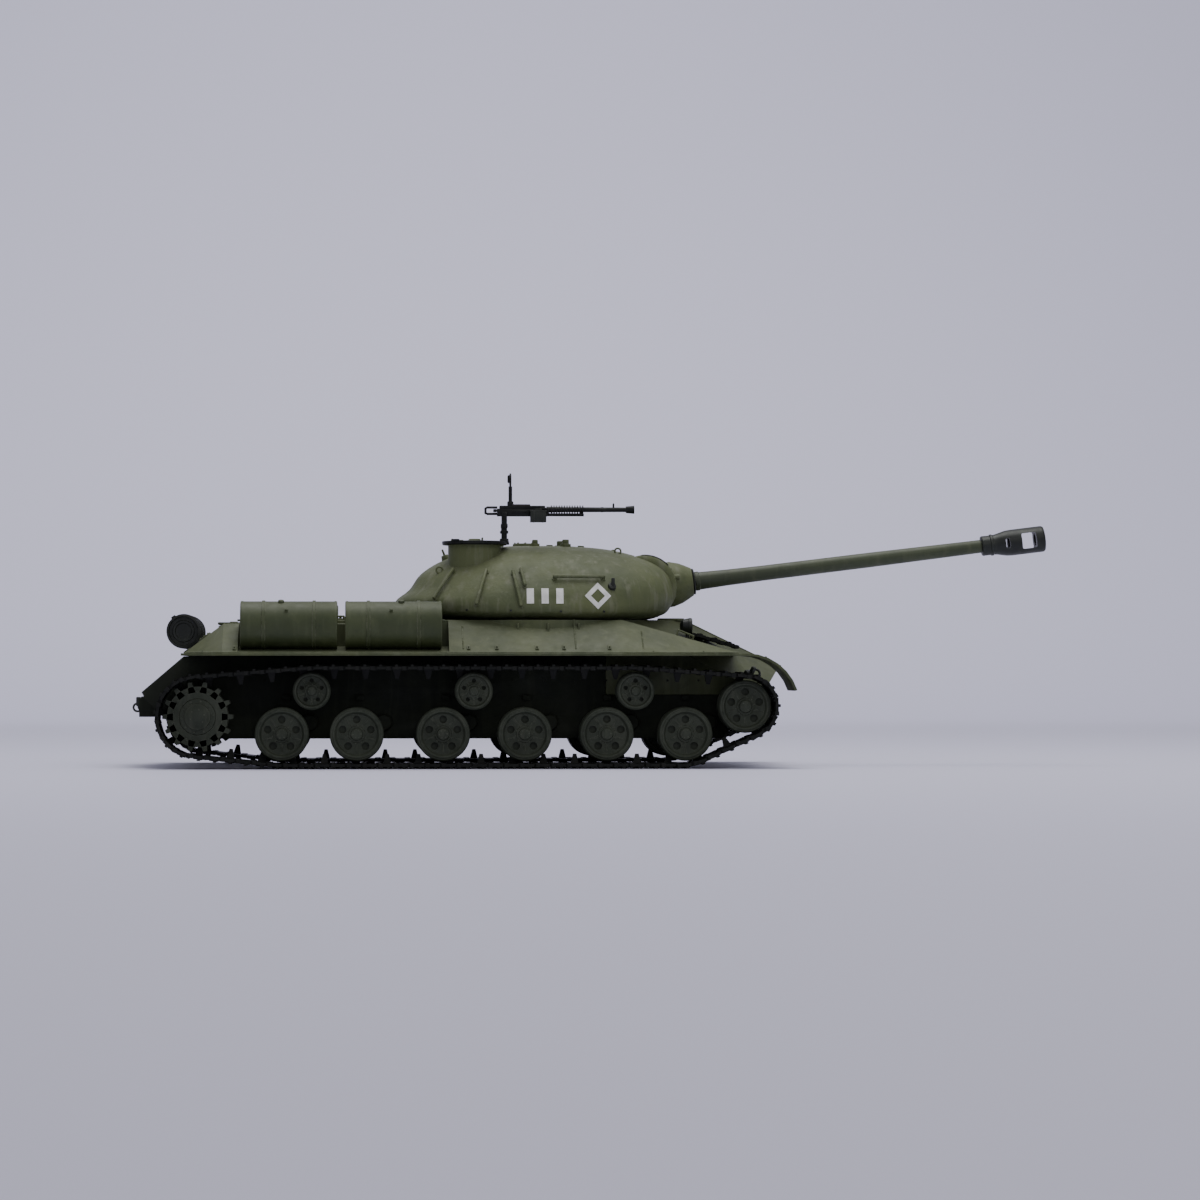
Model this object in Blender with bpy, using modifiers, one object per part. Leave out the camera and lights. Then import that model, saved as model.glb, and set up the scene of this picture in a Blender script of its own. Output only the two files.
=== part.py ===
# Heavy tank model, 1:16 class, as a bench assembly: hull tub, upper hull, running gear, turret and gun.
# Metres, +X to the front of the tank, +Y to its left, +Z up, standing on Z = 0.

from math import acos, asin, atan2, ceil, cos, hypot, pi, radians, sin, tau

import bmesh
import bpy
from mathutils import Matrix, Vector

# Gaps
GAP = 0.0003                    # between pieces that rest on each other
SPIN_GAP = 0.0004               # round a pin, shaft or ring that turns

# Running gear, seen from the side (X from the hull's middle)
WHEEL_RADIUS = 0.0172
WHEEL_X = (-0.1181, -0.0706, -0.0157, 0.0363, 0.0886, 0.1390)
ARM_REACH = 0.0170              # swing arm: wheel axle behind its pivot
ARM_RISE = 0.0070               # and below it
ROLLER_RADIUS = 0.0121
ROLLER_X = (-0.0992, 0.0039, 0.1071)
ROLLER_RISE = 0.0102            # roller axis above the tops of the wheels
IDLER_RADIUS = 0.0169
IDLER_X = 0.1773
IDLER_RISE = 0.0175             # idler axis above the wheel axes
SPROCKET_TEETH = 14
SPROCKET_TIP_RADIUS = 0.0224
SPROCKET_ROOT_RADIUS = 0.0188
SPROCKET_X = -0.1713
SPROCKET_RISE = 0.0111          # sprocket axis above the wheel axes
BELT_THICKNESS = 0.0045

# Running gear, across the tank
TUB_HALF_WIDTH = 0.0540
TRACK_GAP = 0.0032              # tub side to track
TRACK_WIDTH = 0.0406
FENDER_OVERHANG = 0.0006        # fender edge past the track
WHEEL_HALF_WIDTH = 0.0115
ROLLER_HALF_WIDTH = 0.0100
RING_HALF_SPACING = 0.0115      # toothed ring to the middle of the track
RING_THICKNESS = 0.0030
HORN_GAP = 0.0038               # half of the groove for the track's guide horns
ARM_THICKNESS = 0.0050
ARM_GAP = 0.0024                # tub side to swing arm
PIN_RADIUS = 0.0025             # swing arm pivots, axles and roller studs
SHAFT_RADIUS = 0.0030           # sprocket shaft

# Hull
WALL = 0.0020
TUB_BELLY_DROP = 0.0033         # belly below the wheel axes
TUB_BELLY_X = (-0.1780, 0.1654)
TAIL_X = -0.2084
TAIL_RISE = (0.0220, 0.0266)    # tail edge above the wheel axes
HOOK_REACH = 0.0026             # towing hooks past the tail
NOSE_SEAM_DROP = 0.0001         # seam from tub to upper hull at the nose, over the foot of the roller's stud
NOSE_SEAM_X = 0.1914
NOSE_TIP_X = 0.2080
NOSE_TIP_RISE = 0.0430
NOSE_STEP_X = 0.0900            # the upper hull reaches down to the nose seam in front of this
REAR_PLATE_X = -0.1815          # foot of the upper rear plate
FENDER_CLEARANCE = 0.0056       # track to fender
FENDER_THICKNESS = 0.0015
CASEMATE_HEIGHT = 0.0231        # fender to deck at the turret
ENGINE_DECK_DROP = 0.0025       # engine deck below the deck at the turret
ENGINE_DECK_X = (-0.1557, -0.0420)
DECK_HALF_WIDTH = 0.0620
GLACIS_TOP_X = (0.1460, 0.0950)     # deck front edge, at the middle and at the sides
GLACIS_SIDE_X = 0.1925
CASEMATE_FRONT_X = (0.1000, 0.1760)
BAY_X = (-0.1460, -0.0120)      # recess for the fuel drums
BAY_WALL_GAP = 0.0022           # drum to the bay's inner wall
SHELF_STEP = 0.0003             # outer edge of the shelf under the drums, above the fender
SHELF_RISE = 0.0043             # and its slope
COVER_X = (-0.1440, -0.0600)
COVER_HALF_WIDTH = 0.0460
COVER_THICKNESS = 0.0022
COVER_SEAT = 0.0040             # cover rim that lies on the deck
LIP_WIDTH = 0.0020
LOUVRE_SHARES = (0.24, 0.50, 0.76)
LOUVRE_WIDTH = 0.0150
DRIVER_HATCH_HALF = 0.0085

# Stowage
DRUM_RADIUS = 0.0153
DRUM_LENGTH = 0.0615
DRUM_SPACING = 0.0665
DRUM_X = -0.0805                # middle of each pair
DRUM_OUTER_GAP = 0.0031         # drum to fender edge
CANISTER_RADIUS = 0.0109
CANISTER_LENGTH = 0.0420
CANISTER_X = -0.1820
CANISTER_Y = 0.0270
CANISTER_RISE = 0.0159          # canister axis above the fender
LAMP_X = 0.1450
LAMP_Y = -0.0280
LAMP_RADIUS = 0.0050
LAMP_STEM_RADIUS = 0.0014

# Turret
RING_X = 0.0500                 # turret axis
RING_RADIUS = 0.0500            # hole in the deck
BULGE_RADIUS = 0.0720
RACE_WALL = 0.0054
TURRET_WALL = 0.0030
TURRET_HALF_WIDTH = 0.0725
TURRET_HEIGHT = 0.0487
TURRET_REAR_X = -0.0450
TURRET_NOSE_X = 0.1380
HATCH_X = 0.0060
HATCH_Y = 0.0270
COLLAR_RADIUS = 0.0170
HATCH_RADIUS = 0.0136
HATCH_THICKNESS = 0.0024
HATCH_HINGE_RISE = 0.0016       # hinge axis above the collar
COLLAR_TOP = 0.0018             # collar rim above the turret's top
MOUNT_RING_WALL = 0.0038
MOUNT_RING_HEIGHT = 0.0026

# Gun
TRUNNION_X = 0.1180
TRUNNION_RISE = 0.0217          # above the turret's underside
GUN_ELEVATION = radians(7.05)
MANTLET_RADIUS = 0.0212
MANTLET_HALF_WIDTH = 0.0180
SLEEVE_RADII = (0.0150, 0.0083)
SLEEVE_X = (0.0120, 0.0328)     # from the trunnion, along the gun
BARREL_LENGTH = 0.1934
BARREL_RADIUS = 0.0049
SPIGOT_RADIUS = 0.0036
SPIGOT_LENGTH = 0.0060
BRAKE_LENGTH = 0.0423
BRAKE_RADIUS = 0.0086

# Machine gun
POST_HEIGHT = 0.0178
POST_RADIUS = 0.0022
FORK_DROP = 0.0052              # cheeks' foot below the gun's pivot
MG_LENGTH = 0.0560              # barrel in front of the receiver
MG_SIGHT_HEIGHT = 0.0265

# Inside
BATTERY_SIZE = (0.1350, 0.0460, 0.0240)
BATTERY_X = -0.0550
BOARD_SIZE = (0.0800, 0.0550, 0.0016)
BOARD_X = 0.0850
GEARBOX_SIZE = (0.0310, 0.0330, 0.0230)
MOTOR_RADIUS = 0.0095
MOTOR_X = -0.1440

# Round shapes
WHEEL_STEPS = 12
ROLLER_STEPS = 10
PIN_STEPS = 8
BELT_STEP = radians(18)

# Places worked out from the sizes above
WHEEL_Z = BELT_THICKNESS + GAP + WHEEL_RADIUS
ROLLER_Z = WHEEL_Z + WHEEL_RADIUS + ROLLER_RISE
IDLER_Z = WHEEL_Z + IDLER_RISE
SPROCKET_Z = WHEEL_Z + SPROCKET_RISE
PIVOT_Z = WHEEL_Z + ARM_RISE
TUB_BELLY_Z = WHEEL_Z - TUB_BELLY_DROP
TAIL_Z = (WHEEL_Z + TAIL_RISE[0], WHEEL_Z + TAIL_RISE[1])
HOOK_Z = WHEEL_Z + 0.0105
NOSE_SEAM_Z = ROLLER_Z - PIN_RADIUS + NOSE_SEAM_DROP
NOSE_TIP = (NOSE_TIP_X, WHEEL_Z + NOSE_TIP_RISE)
FENDER_Z = ROLLER_Z + ROLLER_RADIUS + GAP + BELT_THICKNESS + FENDER_CLEARANCE
FENDER_TOP_Z = FENDER_Z + FENDER_THICKNESS
TUB_TOP_Z = FENDER_Z - GAP
DECK_Z = FENDER_Z + CASEMATE_HEIGHT
ENGINE_DECK_Z = DECK_Z - ENGINE_DECK_DROP
TRACK_INNER_Y = TUB_HALF_WIDTH + TRACK_GAP
TRACK_OUTER_Y = TRACK_INNER_Y + TRACK_WIDTH
TRACK_Y = (TRACK_INNER_Y + TRACK_OUTER_Y) / 2
FENDER_HALF_WIDTH = TRACK_OUTER_Y + FENDER_OVERHANG
TURRET_Z = DECK_Z + SPIN_GAP
TURRET_TOP_Z = TURRET_Z + TURRET_HEIGHT
COLLAR_TOP_Z = TURRET_TOP_Z + COLLAR_TOP
MOUNT_Z = COLLAR_TOP_Z - MOUNT_RING_HEIGHT + 0.0008
MOUNT_RING_RADIUS = COLLAR_RADIUS + SPIN_GAP + MOUNT_RING_WALL
POST_X = HATCH_X + MOUNT_RING_RADIUS - MOUNT_RING_WALL / 2
MG_Z = MOUNT_Z + MOUNT_RING_HEIGHT + POST_HEIGHT
TRUNNION_Z = TURRET_Z + TRUNNION_RISE
DRUM_Y = FENDER_HALF_WIDTH - DRUM_OUTER_GAP - DRUM_RADIUS
BAY_WALL_Y = DRUM_Y - DRUM_RADIUS - BAY_WALL_GAP
GUN_REACH = SLEEVE_X[1] + GAP + BARREL_LENGTH + GAP + BRAKE_LENGTH
MUZZLE_X = TRUNNION_X + GUN_REACH * cos(GUN_ELEVATION) + BRAKE_RADIUS * sin(GUN_ELEVATION)
TAIL_END_X = TAIL_X - HOOK_REACH
FRAME_SHIFT = -(MUZZLE_X + TAIL_END_X) / 2      # puts the whole tank's middle at X = 0


def clear_scene():
    for obj in list(bpy.data.objects):
        bpy.data.objects.remove(obj, do_unlink=True)


def new_collection(name):
    made = bpy.data.collections.new(name)
    bpy.context.scene.collection.children.link(made)
    return made


def new_material(name, colour, roughness, metallic):
    made = bpy.data.materials.new(name)
    made.use_nodes = True
    shader = made.node_tree.nodes["Principled BSDF"]
    shader.inputs["Base Color"].default_value = (*colour, 1)
    shader.inputs["Roughness"].default_value = roughness
    shader.inputs["Metallic"].default_value = metallic
    made.diffuse_color = (*colour, 1)
    return made


clear_scene()
parts = new_collection("rc_tank")
cutters = new_collection("cutters")
frame = bpy.data.objects.new("tank_frame", None)
frame.location.x = FRAME_SHIFT
parts.objects.link(frame)

hull_green = new_material("hull_green", (0.085, 0.105, 0.050), 0.62, 0.0)
turret_green = new_material("turret_green", (0.100, 0.120, 0.060), 0.60, 0.0)
gear_green = new_material("gear_green", (0.050, 0.062, 0.034), 0.68, 0.0)
track_dark = new_material("track_dark", (0.022, 0.024, 0.019), 0.70, 0.3)
gun_green = new_material("gun_green", (0.050, 0.065, 0.035), 0.55, 0.0)
gun_dark = new_material("gun_dark", (0.018, 0.020, 0.018), 0.50, 0.4)
cell_wrap = new_material("cell_wrap", (0.050, 0.090, 0.300), 0.35, 0.0)
board_green = new_material("board_green", (0.020, 0.160, 0.060), 0.40, 0.0)
gearbox_grey = new_material("gearbox_grey", (0.300, 0.300, 0.310), 0.40, 0.8)


def object_of(bm, name, where=None):
    bmesh.ops.recalc_face_normals(bm, faces=bm.faces)
    mesh = bpy.data.meshes.new(name)
    bm.to_mesh(mesh)
    bm.free()
    obj = bpy.data.objects.new(name, mesh)
    (where or parts).objects.link(obj)
    return obj


def block(name, low, high, where=None):
    bm = bmesh.new()
    bmesh.ops.create_cube(bm, size=1)
    size = Vector(high) - Vector(low)
    bmesh.ops.scale(bm, vec=size, verts=bm.verts)
    bmesh.ops.translate(bm, vec=Vector(low) + size / 2, verts=bm.verts)
    return object_of(bm, name, where)


AXES = {"X": Matrix.Rotation(pi / 2, 4, "Y"), "Y": Matrix.Rotation(-pi / 2, 4, "X"),
        "Z": Matrix.Identity(4)}


def rod(name, radius, start, end, axis, centre, steps=PIN_STEPS, where=None, far_radius=None):
    """Cylinder or cone along an axis, from start to end, round a centre."""
    bm = bmesh.new()
    last = radius if far_radius is None else far_radius
    bmesh.ops.create_cone(bm, cap_ends=True, segments=steps, radius1=radius, radius2=last,
            depth=end - start)
    bmesh.ops.translate(bm, vec=(0, 0, (start + end) / 2), verts=bm.verts)
    bmesh.ops.transform(bm, matrix=Matrix.Translation(centre) @ AXES[axis], verts=bm.verts)
    return object_of(bm, name, where)


def baked_mesh(obj):
    """The object's finished shape, in its parent's space, as plain mesh; the object goes."""
    bpy.context.view_layer.update()
    mesh = bpy.data.meshes.new_from_object(obj.evaluated_get(bpy.context.evaluated_depsgraph_get()))
    mesh.transform(obj.matrix_world)
    bm = bmesh.new()
    bm.from_mesh(mesh)
    bmesh.ops.remove_doubles(bm, verts=bm.verts, dist=1e-6)
    bmesh.ops.recalc_face_normals(bm, faces=bm.faces)
    bm.to_mesh(mesh)
    bm.free()
    bpy.data.objects.remove(obj, do_unlink=True)
    return mesh


def object_with(mesh, name, where=None):
    mesh.name = name
    obj = bpy.data.objects.new(name, mesh)
    (where or parts).objects.link(obj)
    return obj


def turned(name, profile, axis, centre, steps, where=None):
    """Solid of revolution: (radius, height) points run down the outer side, and close on the axis or in a loop."""
    bm = bmesh.new()
    points = [bm.verts.new((radius, 0, height)) for radius, height in profile]
    for start, end in zip(points, points[1:]):
        bm.edges.new((start, end))
    if profile[0][0] > 0:
        bm.edges.new((points[-1], points[0]))
    mesh = bpy.data.meshes.new(name)
    bm.to_mesh(mesh)
    bm.free()
    obj = bpy.data.objects.new(name, mesh)
    cutters.objects.link(obj)
    screw = obj.modifiers.new("turn", "SCREW")
    screw.axis = "Z"
    screw.steps = screw.render_steps = steps
    screw.use_merge_vertices = True
    screw.merge_threshold = 1e-5
    obj.matrix_world = Matrix.Translation(centre) @ AXES[axis]
    return object_with(baked_mesh(obj), name, where)


PLANES = {
    "XZ": Matrix.Rotation(pi / 2, 4, "X"),
    "YZ": Matrix(((0, 0, 1, 0), (1, 0, 0, 0), (0, 1, 0, 0), (0, 0, 0, 1))),
    "XY": Matrix.Identity(4),
}


def prism(name, outlines, plane, low, high, where=None):
    """Flat outlines in a plane, later ones as holes, made solid between low and high across it."""
    data = bpy.data.curves.new(name, "CURVE")
    data.dimensions = "2D"
    data.fill_mode = "BOTH"
    data.extrude = (high - low) / 2
    for outline in outlines:
        spline = data.splines.new("POLY")
        spline.points.add(len(outline) - 1)
        for point, (u, v) in zip(spline.points, outline):
            point.co = (u, v, 0, 1)
        spline.use_cyclic_u = True
    curve = bpy.data.objects.new(name, data)
    cutters.objects.link(curve)
    middle = (low + high) / 2
    offset = {"XZ": (0, middle, 0), "YZ": (middle, 0, 0), "XY": (0, 0, middle)}[plane]
    curve.matrix_world = Matrix.Translation(offset) @ PLANES[plane]
    return object_with(baked_mesh(curve), name, where)


def loft(name, sections, where=None):
    """Solid between closed sections that have the same number of points."""
    bm = bmesh.new()
    rings = [[bm.verts.new(point) for point in section] for section in sections]
    for lower, upper in zip(rings, rings[1:]):
        for k in range(len(lower)):
            after = (k + 1) % len(lower)
            bm.faces.new((lower[k], lower[after], upper[after], upper[k]))
    bm.faces.new(rings[0])
    bm.faces.new(rings[-1])
    bmesh.ops.triangulate(bm, faces=bm.faces)
    return object_of(bm, name, where)


def boolean(obj, other, operation):
    for owner in other.users_collection:
        owner.objects.unlink(other)
    cutters.objects.link(other)
    other.hide_render = True
    other.display_type = "WIRE"
    other.parent = obj.parent
    modifier = obj.modifiers.new(operation.lower(), "BOOLEAN")
    modifier.operation = operation
    modifier.object = other


def join(obj, *others):
    for other in others:
        boolean(obj, other, "UNION")


def cut(obj, *others):
    for other in others:
        boolean(obj, other, "DIFFERENCE")


def merged(obj, name):
    """The object with its joins and cuts made, as a plain mesh to share."""
    helpers = [modifier.object for modifier in obj.modifiers if modifier.type == "BOOLEAN"]
    mesh = baked_mesh(obj)
    for helper in helpers:
        bpy.data.objects.remove(helper, do_unlink=True)
    mesh.name = name
    return mesh


def mirrored(mesh, name):
    """The same mesh on the tank's other side."""
    copy = mesh.copy()
    copy.name = name
    copy.transform(Matrix.Scale(-1, 4, (0, 1, 0)))
    copy.flip_normals()
    return copy


def place(obj, paint, origin=(0, 0, 0), parent=None, moved=True):
    """Gives a piece its finish and its parent; moved shifts a mesh made in place so that its origin is the joint."""
    if moved:
        obj.data.transform(Matrix.Translation(-Vector(origin)))
    obj.data.materials.clear()
    obj.data.materials.append(paint)
    obj.data.shade_smooth()
    obj.data.set_sharp_from_angle(angle=radians(35))
    obj.parent = parent or frame
    obj.location = Vector(origin) - Vector(parent["origin"] if parent else (0, 0, 0))
    obj["origin"] = origin
    return obj


def copy_of(mesh, name, paint, origin, parent=None):
    obj = bpy.data.objects.new(name, mesh)
    parts.objects.link(obj)
    return place(obj, paint, origin, parent, moved=False)


def offset_line(points, distance):
    """An open run of points moved sideways, to its left, by a distance."""
    lines = []
    for (ax, az), (bx, bz) in zip(points, points[1:]):
        length = hypot(bx - ax, bz - az)
        nx, nz = -(bz - az) / length * distance, (bx - ax) / length * distance
        lines.append(((ax + nx, az + nz), (bx + nx, bz + nz)))
    moved = [lines[0][0]]
    for (a, b), (c, d) in zip(lines, lines[1:]):
        ux, uz, vx, vz = b[0] - a[0], b[1] - a[1], d[0] - c[0], d[1] - c[1]
        share = ((c[0] - a[0]) * vz - (c[1] - a[1]) * vx) / (ux * vz - uz * vx)
        moved.append((a[0] + ux * share, a[1] + uz * share))
    moved.append(lines[-1][1])
    return moved


def wrapped(circles, grow, step):
    """Outline of a band pulled round (x, z, radius) circles, counter-clockwise, grown outwards."""
    normals = []
    for (ax, az, ar), (bx, bz, br) in zip(circles, circles[1:] + circles[:1]):
        reach = hypot(bx - ax, bz - az)
        normals.append(atan2(bz - az, bx - ax) - acos((ar - br) / reach))
    outline = []
    for (x, z, radius), before, after in zip(circles, normals[-1:] + normals[:-1], normals):
        turn = (after - before) % tau
        count = ceil(turn / step) if turn < tau - 1e-4 and turn > 1e-4 else 0
        for k in range(count + 1):
            angle = before + (turn * k / count if count else 0)
            outline.append((x + (radius + grow) * cos(angle), z + (radius + grow) * sin(angle)))
    return outline


def side_name(side):
    return "left" if side > 0 else "right"


def wheel_profile(radius, half, cap_radius, bore):
    """Double disc wheel with a groove for the guide horns, a domed cap outside and a blind bore from the inside."""
    rim = radius * 0.80
    dish = half - 0.0025
    return [
        (0, half + 0.0012), (cap_radius, half + 0.0012), (cap_radius + 0.0012, dish),
        (rim - 0.0008, dish), (rim, half), (radius, half), (radius, HORN_GAP),
        (radius - 0.0055, HORN_GAP), (radius - 0.0055, -HORN_GAP), (radius, -HORN_GAP), (radius, -half),
        (bore, -half), (bore, HORN_GAP), (0, HORN_GAP),
    ]


def wheel_mesh(name, radius, half, cap_radius, steps):
    profile = wheel_profile(radius, half, cap_radius, PIN_RADIUS + SPIN_GAP)
    obj = turned(name, profile, "Y", (0, TRACK_Y, 0), steps)
    return merged(obj, name)


def arm_mesh():
    """Trailing arm: a slab with a pivot pin into the tub and an axle into the wheel."""
    inner = TUB_HALF_WIDTH + ARM_GAP
    outer = inner + ARM_THICKNESS
    ends = [(0, 0, 0.0046), (-ARM_REACH, -ARM_RISE, 0.0040)]
    slab = prism("arm", [wrapped(ends, 0, radians(45))], "XZ", inner, outer)
    pivot = rod("pivot", PIN_RADIUS, TUB_HALF_WIDTH - WALL - 0.003, inner + 0.002, "Y", (0, 0, 0))
    axle = rod("axle", PIN_RADIUS, outer - 0.002, TRACK_Y + HORN_GAP - GAP, "Y", (-ARM_REACH, 0, -ARM_RISE))
    join(slab, pivot, axle)
    return merged(slab, "swing_arm")


def tooth_outline():
    outline = []
    for k in range(SPROCKET_TEETH):
        middle = tau * k / SPROCKET_TEETH
        for share, radius in ((-0.30, SPROCKET_ROOT_RADIUS), (-0.13, SPROCKET_TIP_RADIUS),
                              (0.13, SPROCKET_TIP_RADIUS), (0.30, SPROCKET_ROOT_RADIUS)):
            angle = middle + share * tau / SPROCKET_TEETH
            outline.append((radius * cos(angle), radius * sin(angle)))
    return outline


def sprocket_mesh():
    """Two toothed rings on a drum, the final drive's cap outside and the shaft through the tub side."""
    drum_radius = SPROCKET_ROOT_RADIUS - 0.0045
    outer_face = RING_HALF_SPACING + RING_THICKNESS / 2
    profile = [
        (0, outer_face + 0.0050), (0.0060, outer_face + 0.0042), (0.0100, outer_face + 0.0015),
        (drum_radius, outer_face - 0.0010), (drum_radius, -outer_face + 0.0005), (SHAFT_RADIUS,
                -outer_face + 0.0005),
        (SHAFT_RADIUS, 0.038 - TRACK_Y), (0, 0.038 - TRACK_Y),
    ]
    drum = turned("sprocket", profile, "Y", (0, TRACK_Y, 0), WHEEL_STEPS)
    for way in (-1, 1):
        middle = TRACK_Y + way * RING_HALF_SPACING
        ring = prism("ring", [tooth_outline()], "XZ", middle - RING_THICKNESS / 2,
                middle + RING_THICKNESS / 2)
        join(drum, ring)
    return merged(drum, "sprocket")


def belt_circles():
    """What the track runs round, counter-clockwise from the rear wheel, each with its running gap."""
    wheel = WHEEL_RADIUS + GAP
    roller = ROLLER_RADIUS + GAP
    return [
        (WHEEL_X[0], WHEEL_Z, wheel), (WHEEL_X[-1], WHEEL_Z, wheel), (IDLER_X, IDLER_Z, IDLER_RADIUS + GAP),
        (ROLLER_X[2], ROLLER_Z, roller), (ROLLER_X[0], ROLLER_Z, roller),
        (SPROCKET_X, SPROCKET_Z, SPROCKET_TIP_RADIUS + 0.0006),
    ]


def build_running_gear():
    wheel = {1: wheel_mesh("road_wheel", WHEEL_RADIUS, WHEEL_HALF_WIDTH, 0.0052, WHEEL_STEPS)}
    roller = {1: wheel_mesh("return_roller", ROLLER_RADIUS, ROLLER_HALF_WIDTH, 0.0040, ROLLER_STEPS)}
    idler = {1: wheel_mesh("idler", IDLER_RADIUS, WHEEL_HALF_WIDTH, 0.0052, WHEEL_STEPS)}
    arm = {1: arm_mesh()}
    sprocket = {1: sprocket_mesh()}
    for shape in (wheel, roller, idler, arm, sprocket):
        shape[-1] = mirrored(shape[1], shape[1].name + "_right")
    for side in (1, -1):
        name = side_name(side)
        for number, x in enumerate(WHEEL_X, 1):
            pivot = (x + ARM_REACH, 0, PIVOT_Z)
            holder = copy_of(arm[side], f"{name}_swing_arm_{number}", gear_green, pivot)
            copy_of(wheel[side], f"{name}_road_wheel_{number}", gear_green, (x, 0, WHEEL_Z), holder)
        for number, x in enumerate(ROLLER_X, 1):
            copy_of(roller[side], f"{name}_return_roller_{number}", gear_green, (x, 0, ROLLER_Z))
        copy_of(idler[side], f"{name}_idler", gear_green, (IDLER_X, 0, IDLER_Z))
        copy_of(sprocket[side], f"{name}_sprocket", gear_green, (SPROCKET_X, 0, SPROCKET_Z))
        sides = sorted((side * TRACK_INNER_Y, side * TRACK_OUTER_Y))
        rounds = [wrapped(belt_circles(), BELT_THICKNESS, BELT_STEP), wrapped(belt_circles(), 0, BELT_STEP)]
        place(prism(f"{name}_track", rounds, "XZ", *sides), track_dark)


def tub_floor():
    """Side outline of the tub below its rim, from the rear plate round the belly to the nose."""
    return [
        (REAR_PLATE_X, TUB_TOP_Z), (TAIL_X, TAIL_Z[1]), (TAIL_X + 0.0024, TAIL_Z[0]),
        (TUB_BELLY_X[0], TUB_BELLY_Z), (TUB_BELLY_X[1], TUB_BELLY_Z), (NOSE_SEAM_X, NOSE_SEAM_Z - GAP),
    ]


def build_tub():
    outside = tub_floor() + [(NOSE_STEP_X - GAP, NOSE_SEAM_Z - GAP), (NOSE_STEP_X - GAP, TUB_TOP_Z)]
    tub = place(prism("lower_hull", [outside], "XZ", -TUB_HALF_WIDTH, TUB_HALF_WIDTH), hull_green)
    inside = offset_line(tub_floor(), WALL)
    rim = TUB_TOP_Z + WALL
    inside += [(inside[-1][0], rim), (inside[0][0], rim)]
    reach = TUB_HALF_WIDTH - WALL
    cut(tub, prism("tub_inside", [inside], "XZ", -reach, reach))
    for y in (-0.030, 0.030):
        hook = block("tow_hook", (TAIL_END_X, y - 0.003, HOOK_Z),
                (TAIL_X + 0.010, y + 0.003, TAIL_Z[0] + 0.001))
        join(tub, hook)
    for side in (1, -1):
        wall = sorted((side * (TUB_HALF_WIDTH - WALL - 0.001), side * (TUB_HALF_WIDTH + 0.001)))
        for x in WHEEL_X:
            cut(tub, rod("arm_hole", PIN_RADIUS + SPIN_GAP, *wall, "Y", (x + ARM_REACH, 0, PIVOT_Z)))
        cut(tub, rod("shaft_hole", SHAFT_RADIUS + SPIN_GAP, *wall, "Y", (SPROCKET_X, 0, SPROCKET_Z), 12))
    join(tub, *studs(in_nose=False))
    return tub


def studs(in_nose):
    """Fixed axles of the rollers and idlers, which stand on the tub side or on the side of the nose."""
    made = []
    for x, z in [(x, ROLLER_Z) for x in ROLLER_X] + [(IDLER_X, IDLER_Z)]:
        if in_nose == (x > NOSE_STEP_X and z > NOSE_SEAM_Z):
            for side in (1, -1):
                reach = sorted((side * (TUB_HALF_WIDTH - WALL / 2), side * (TRACK_Y + HORN_GAP - GAP)))
                made.append(rod("stud", PIN_RADIUS, *reach, "Y", (x, 0, z)))
    return made


def casemate_section(x, deck_y, deck_z):
    edge = FENDER_HALF_WIDTH
    return [
        (x, -edge, FENDER_Z), (x, -edge, FENDER_TOP_Z), (x, -deck_y, deck_z),
        (x, deck_y, deck_z), (x, edge, FENDER_TOP_Z), (x, edge, FENDER_Z),
    ]


def nose_section(y, top_x, tip, inset):
    """Side outline of the pike nose at one distance from the middle."""
    seam = NOSE_SEAM_Z
    return [
        (NOSE_STEP_X + inset, y, seam - inset), (NOSE_STEP_X + inset, y, DECK_Z - inset),
        (top_x - inset * 0.2, y, DECK_Z - inset), (tip[0] - inset * 1.5, y, tip[1] - inset * 0.3),
        (NOSE_SEAM_X - inset * 1.3, y, seam - inset),
    ]


def nose(name, inset):
    half = TUB_HALF_WIDTH - inset
    side_tip = (GLACIS_SIDE_X, NOSE_SEAM_Z + 0.0011 + inset * 0.3)
    sections = [
        nose_section(-half, GLACIS_TOP_X[1], side_tip, inset),
        nose_section(0, GLACIS_TOP_X[0], NOSE_TIP, inset),
        nose_section(half, GLACIS_TOP_X[1], side_tip, inset),
    ]
    return loft(name, sections)


def front_fender(side):
    """Mudguard that follows the idler down, as wide as the track."""
    outer = FENDER_TOP_Z - IDLER_Z
    arc = [radians(90 - 72 * k / 6) for k in range(7)]
    top = [(IDLER_X + outer * cos(a), IDLER_Z + outer * sin(a)) for a in arc]
    inner = outer - FENDER_THICKNESS
    under = [(IDLER_X + inner * cos(a), IDLER_Z + inner * sin(a)) for a in reversed(arc)]
    back = CASEMATE_FRONT_X[1] - 0.020
    outline = [(back, FENDER_TOP_Z)] + top + under + [(back, FENDER_Z)]
    sides = sorted((side * (TUB_HALF_WIDTH - WALL / 2), side * FENDER_HALF_WIDTH))
    return prism("front_fender", [outline], "XZ", *sides)


def shelf_z(y):
    """Height of the drum shelf."""
    inwards = (FENDER_HALF_WIDTH - abs(y)) / (FENDER_HALF_WIDTH - BAY_WALL_Y)
    return FENDER_TOP_Z + SHELF_STEP + SHELF_RISE * inwards


def drum_bay(side):
    past = FENDER_HALF_WIDTH + 0.002
    outline = [
        (side * BAY_WALL_Y, DECK_Z + 0.010), (side * BAY_WALL_Y, shelf_z(BAY_WALL_Y)),
        (side * past, shelf_z(past)), (side * past, DECK_Z + 0.010),
    ]
    return prism("drum_bay", [outline], "YZ", *BAY_X)


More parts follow.
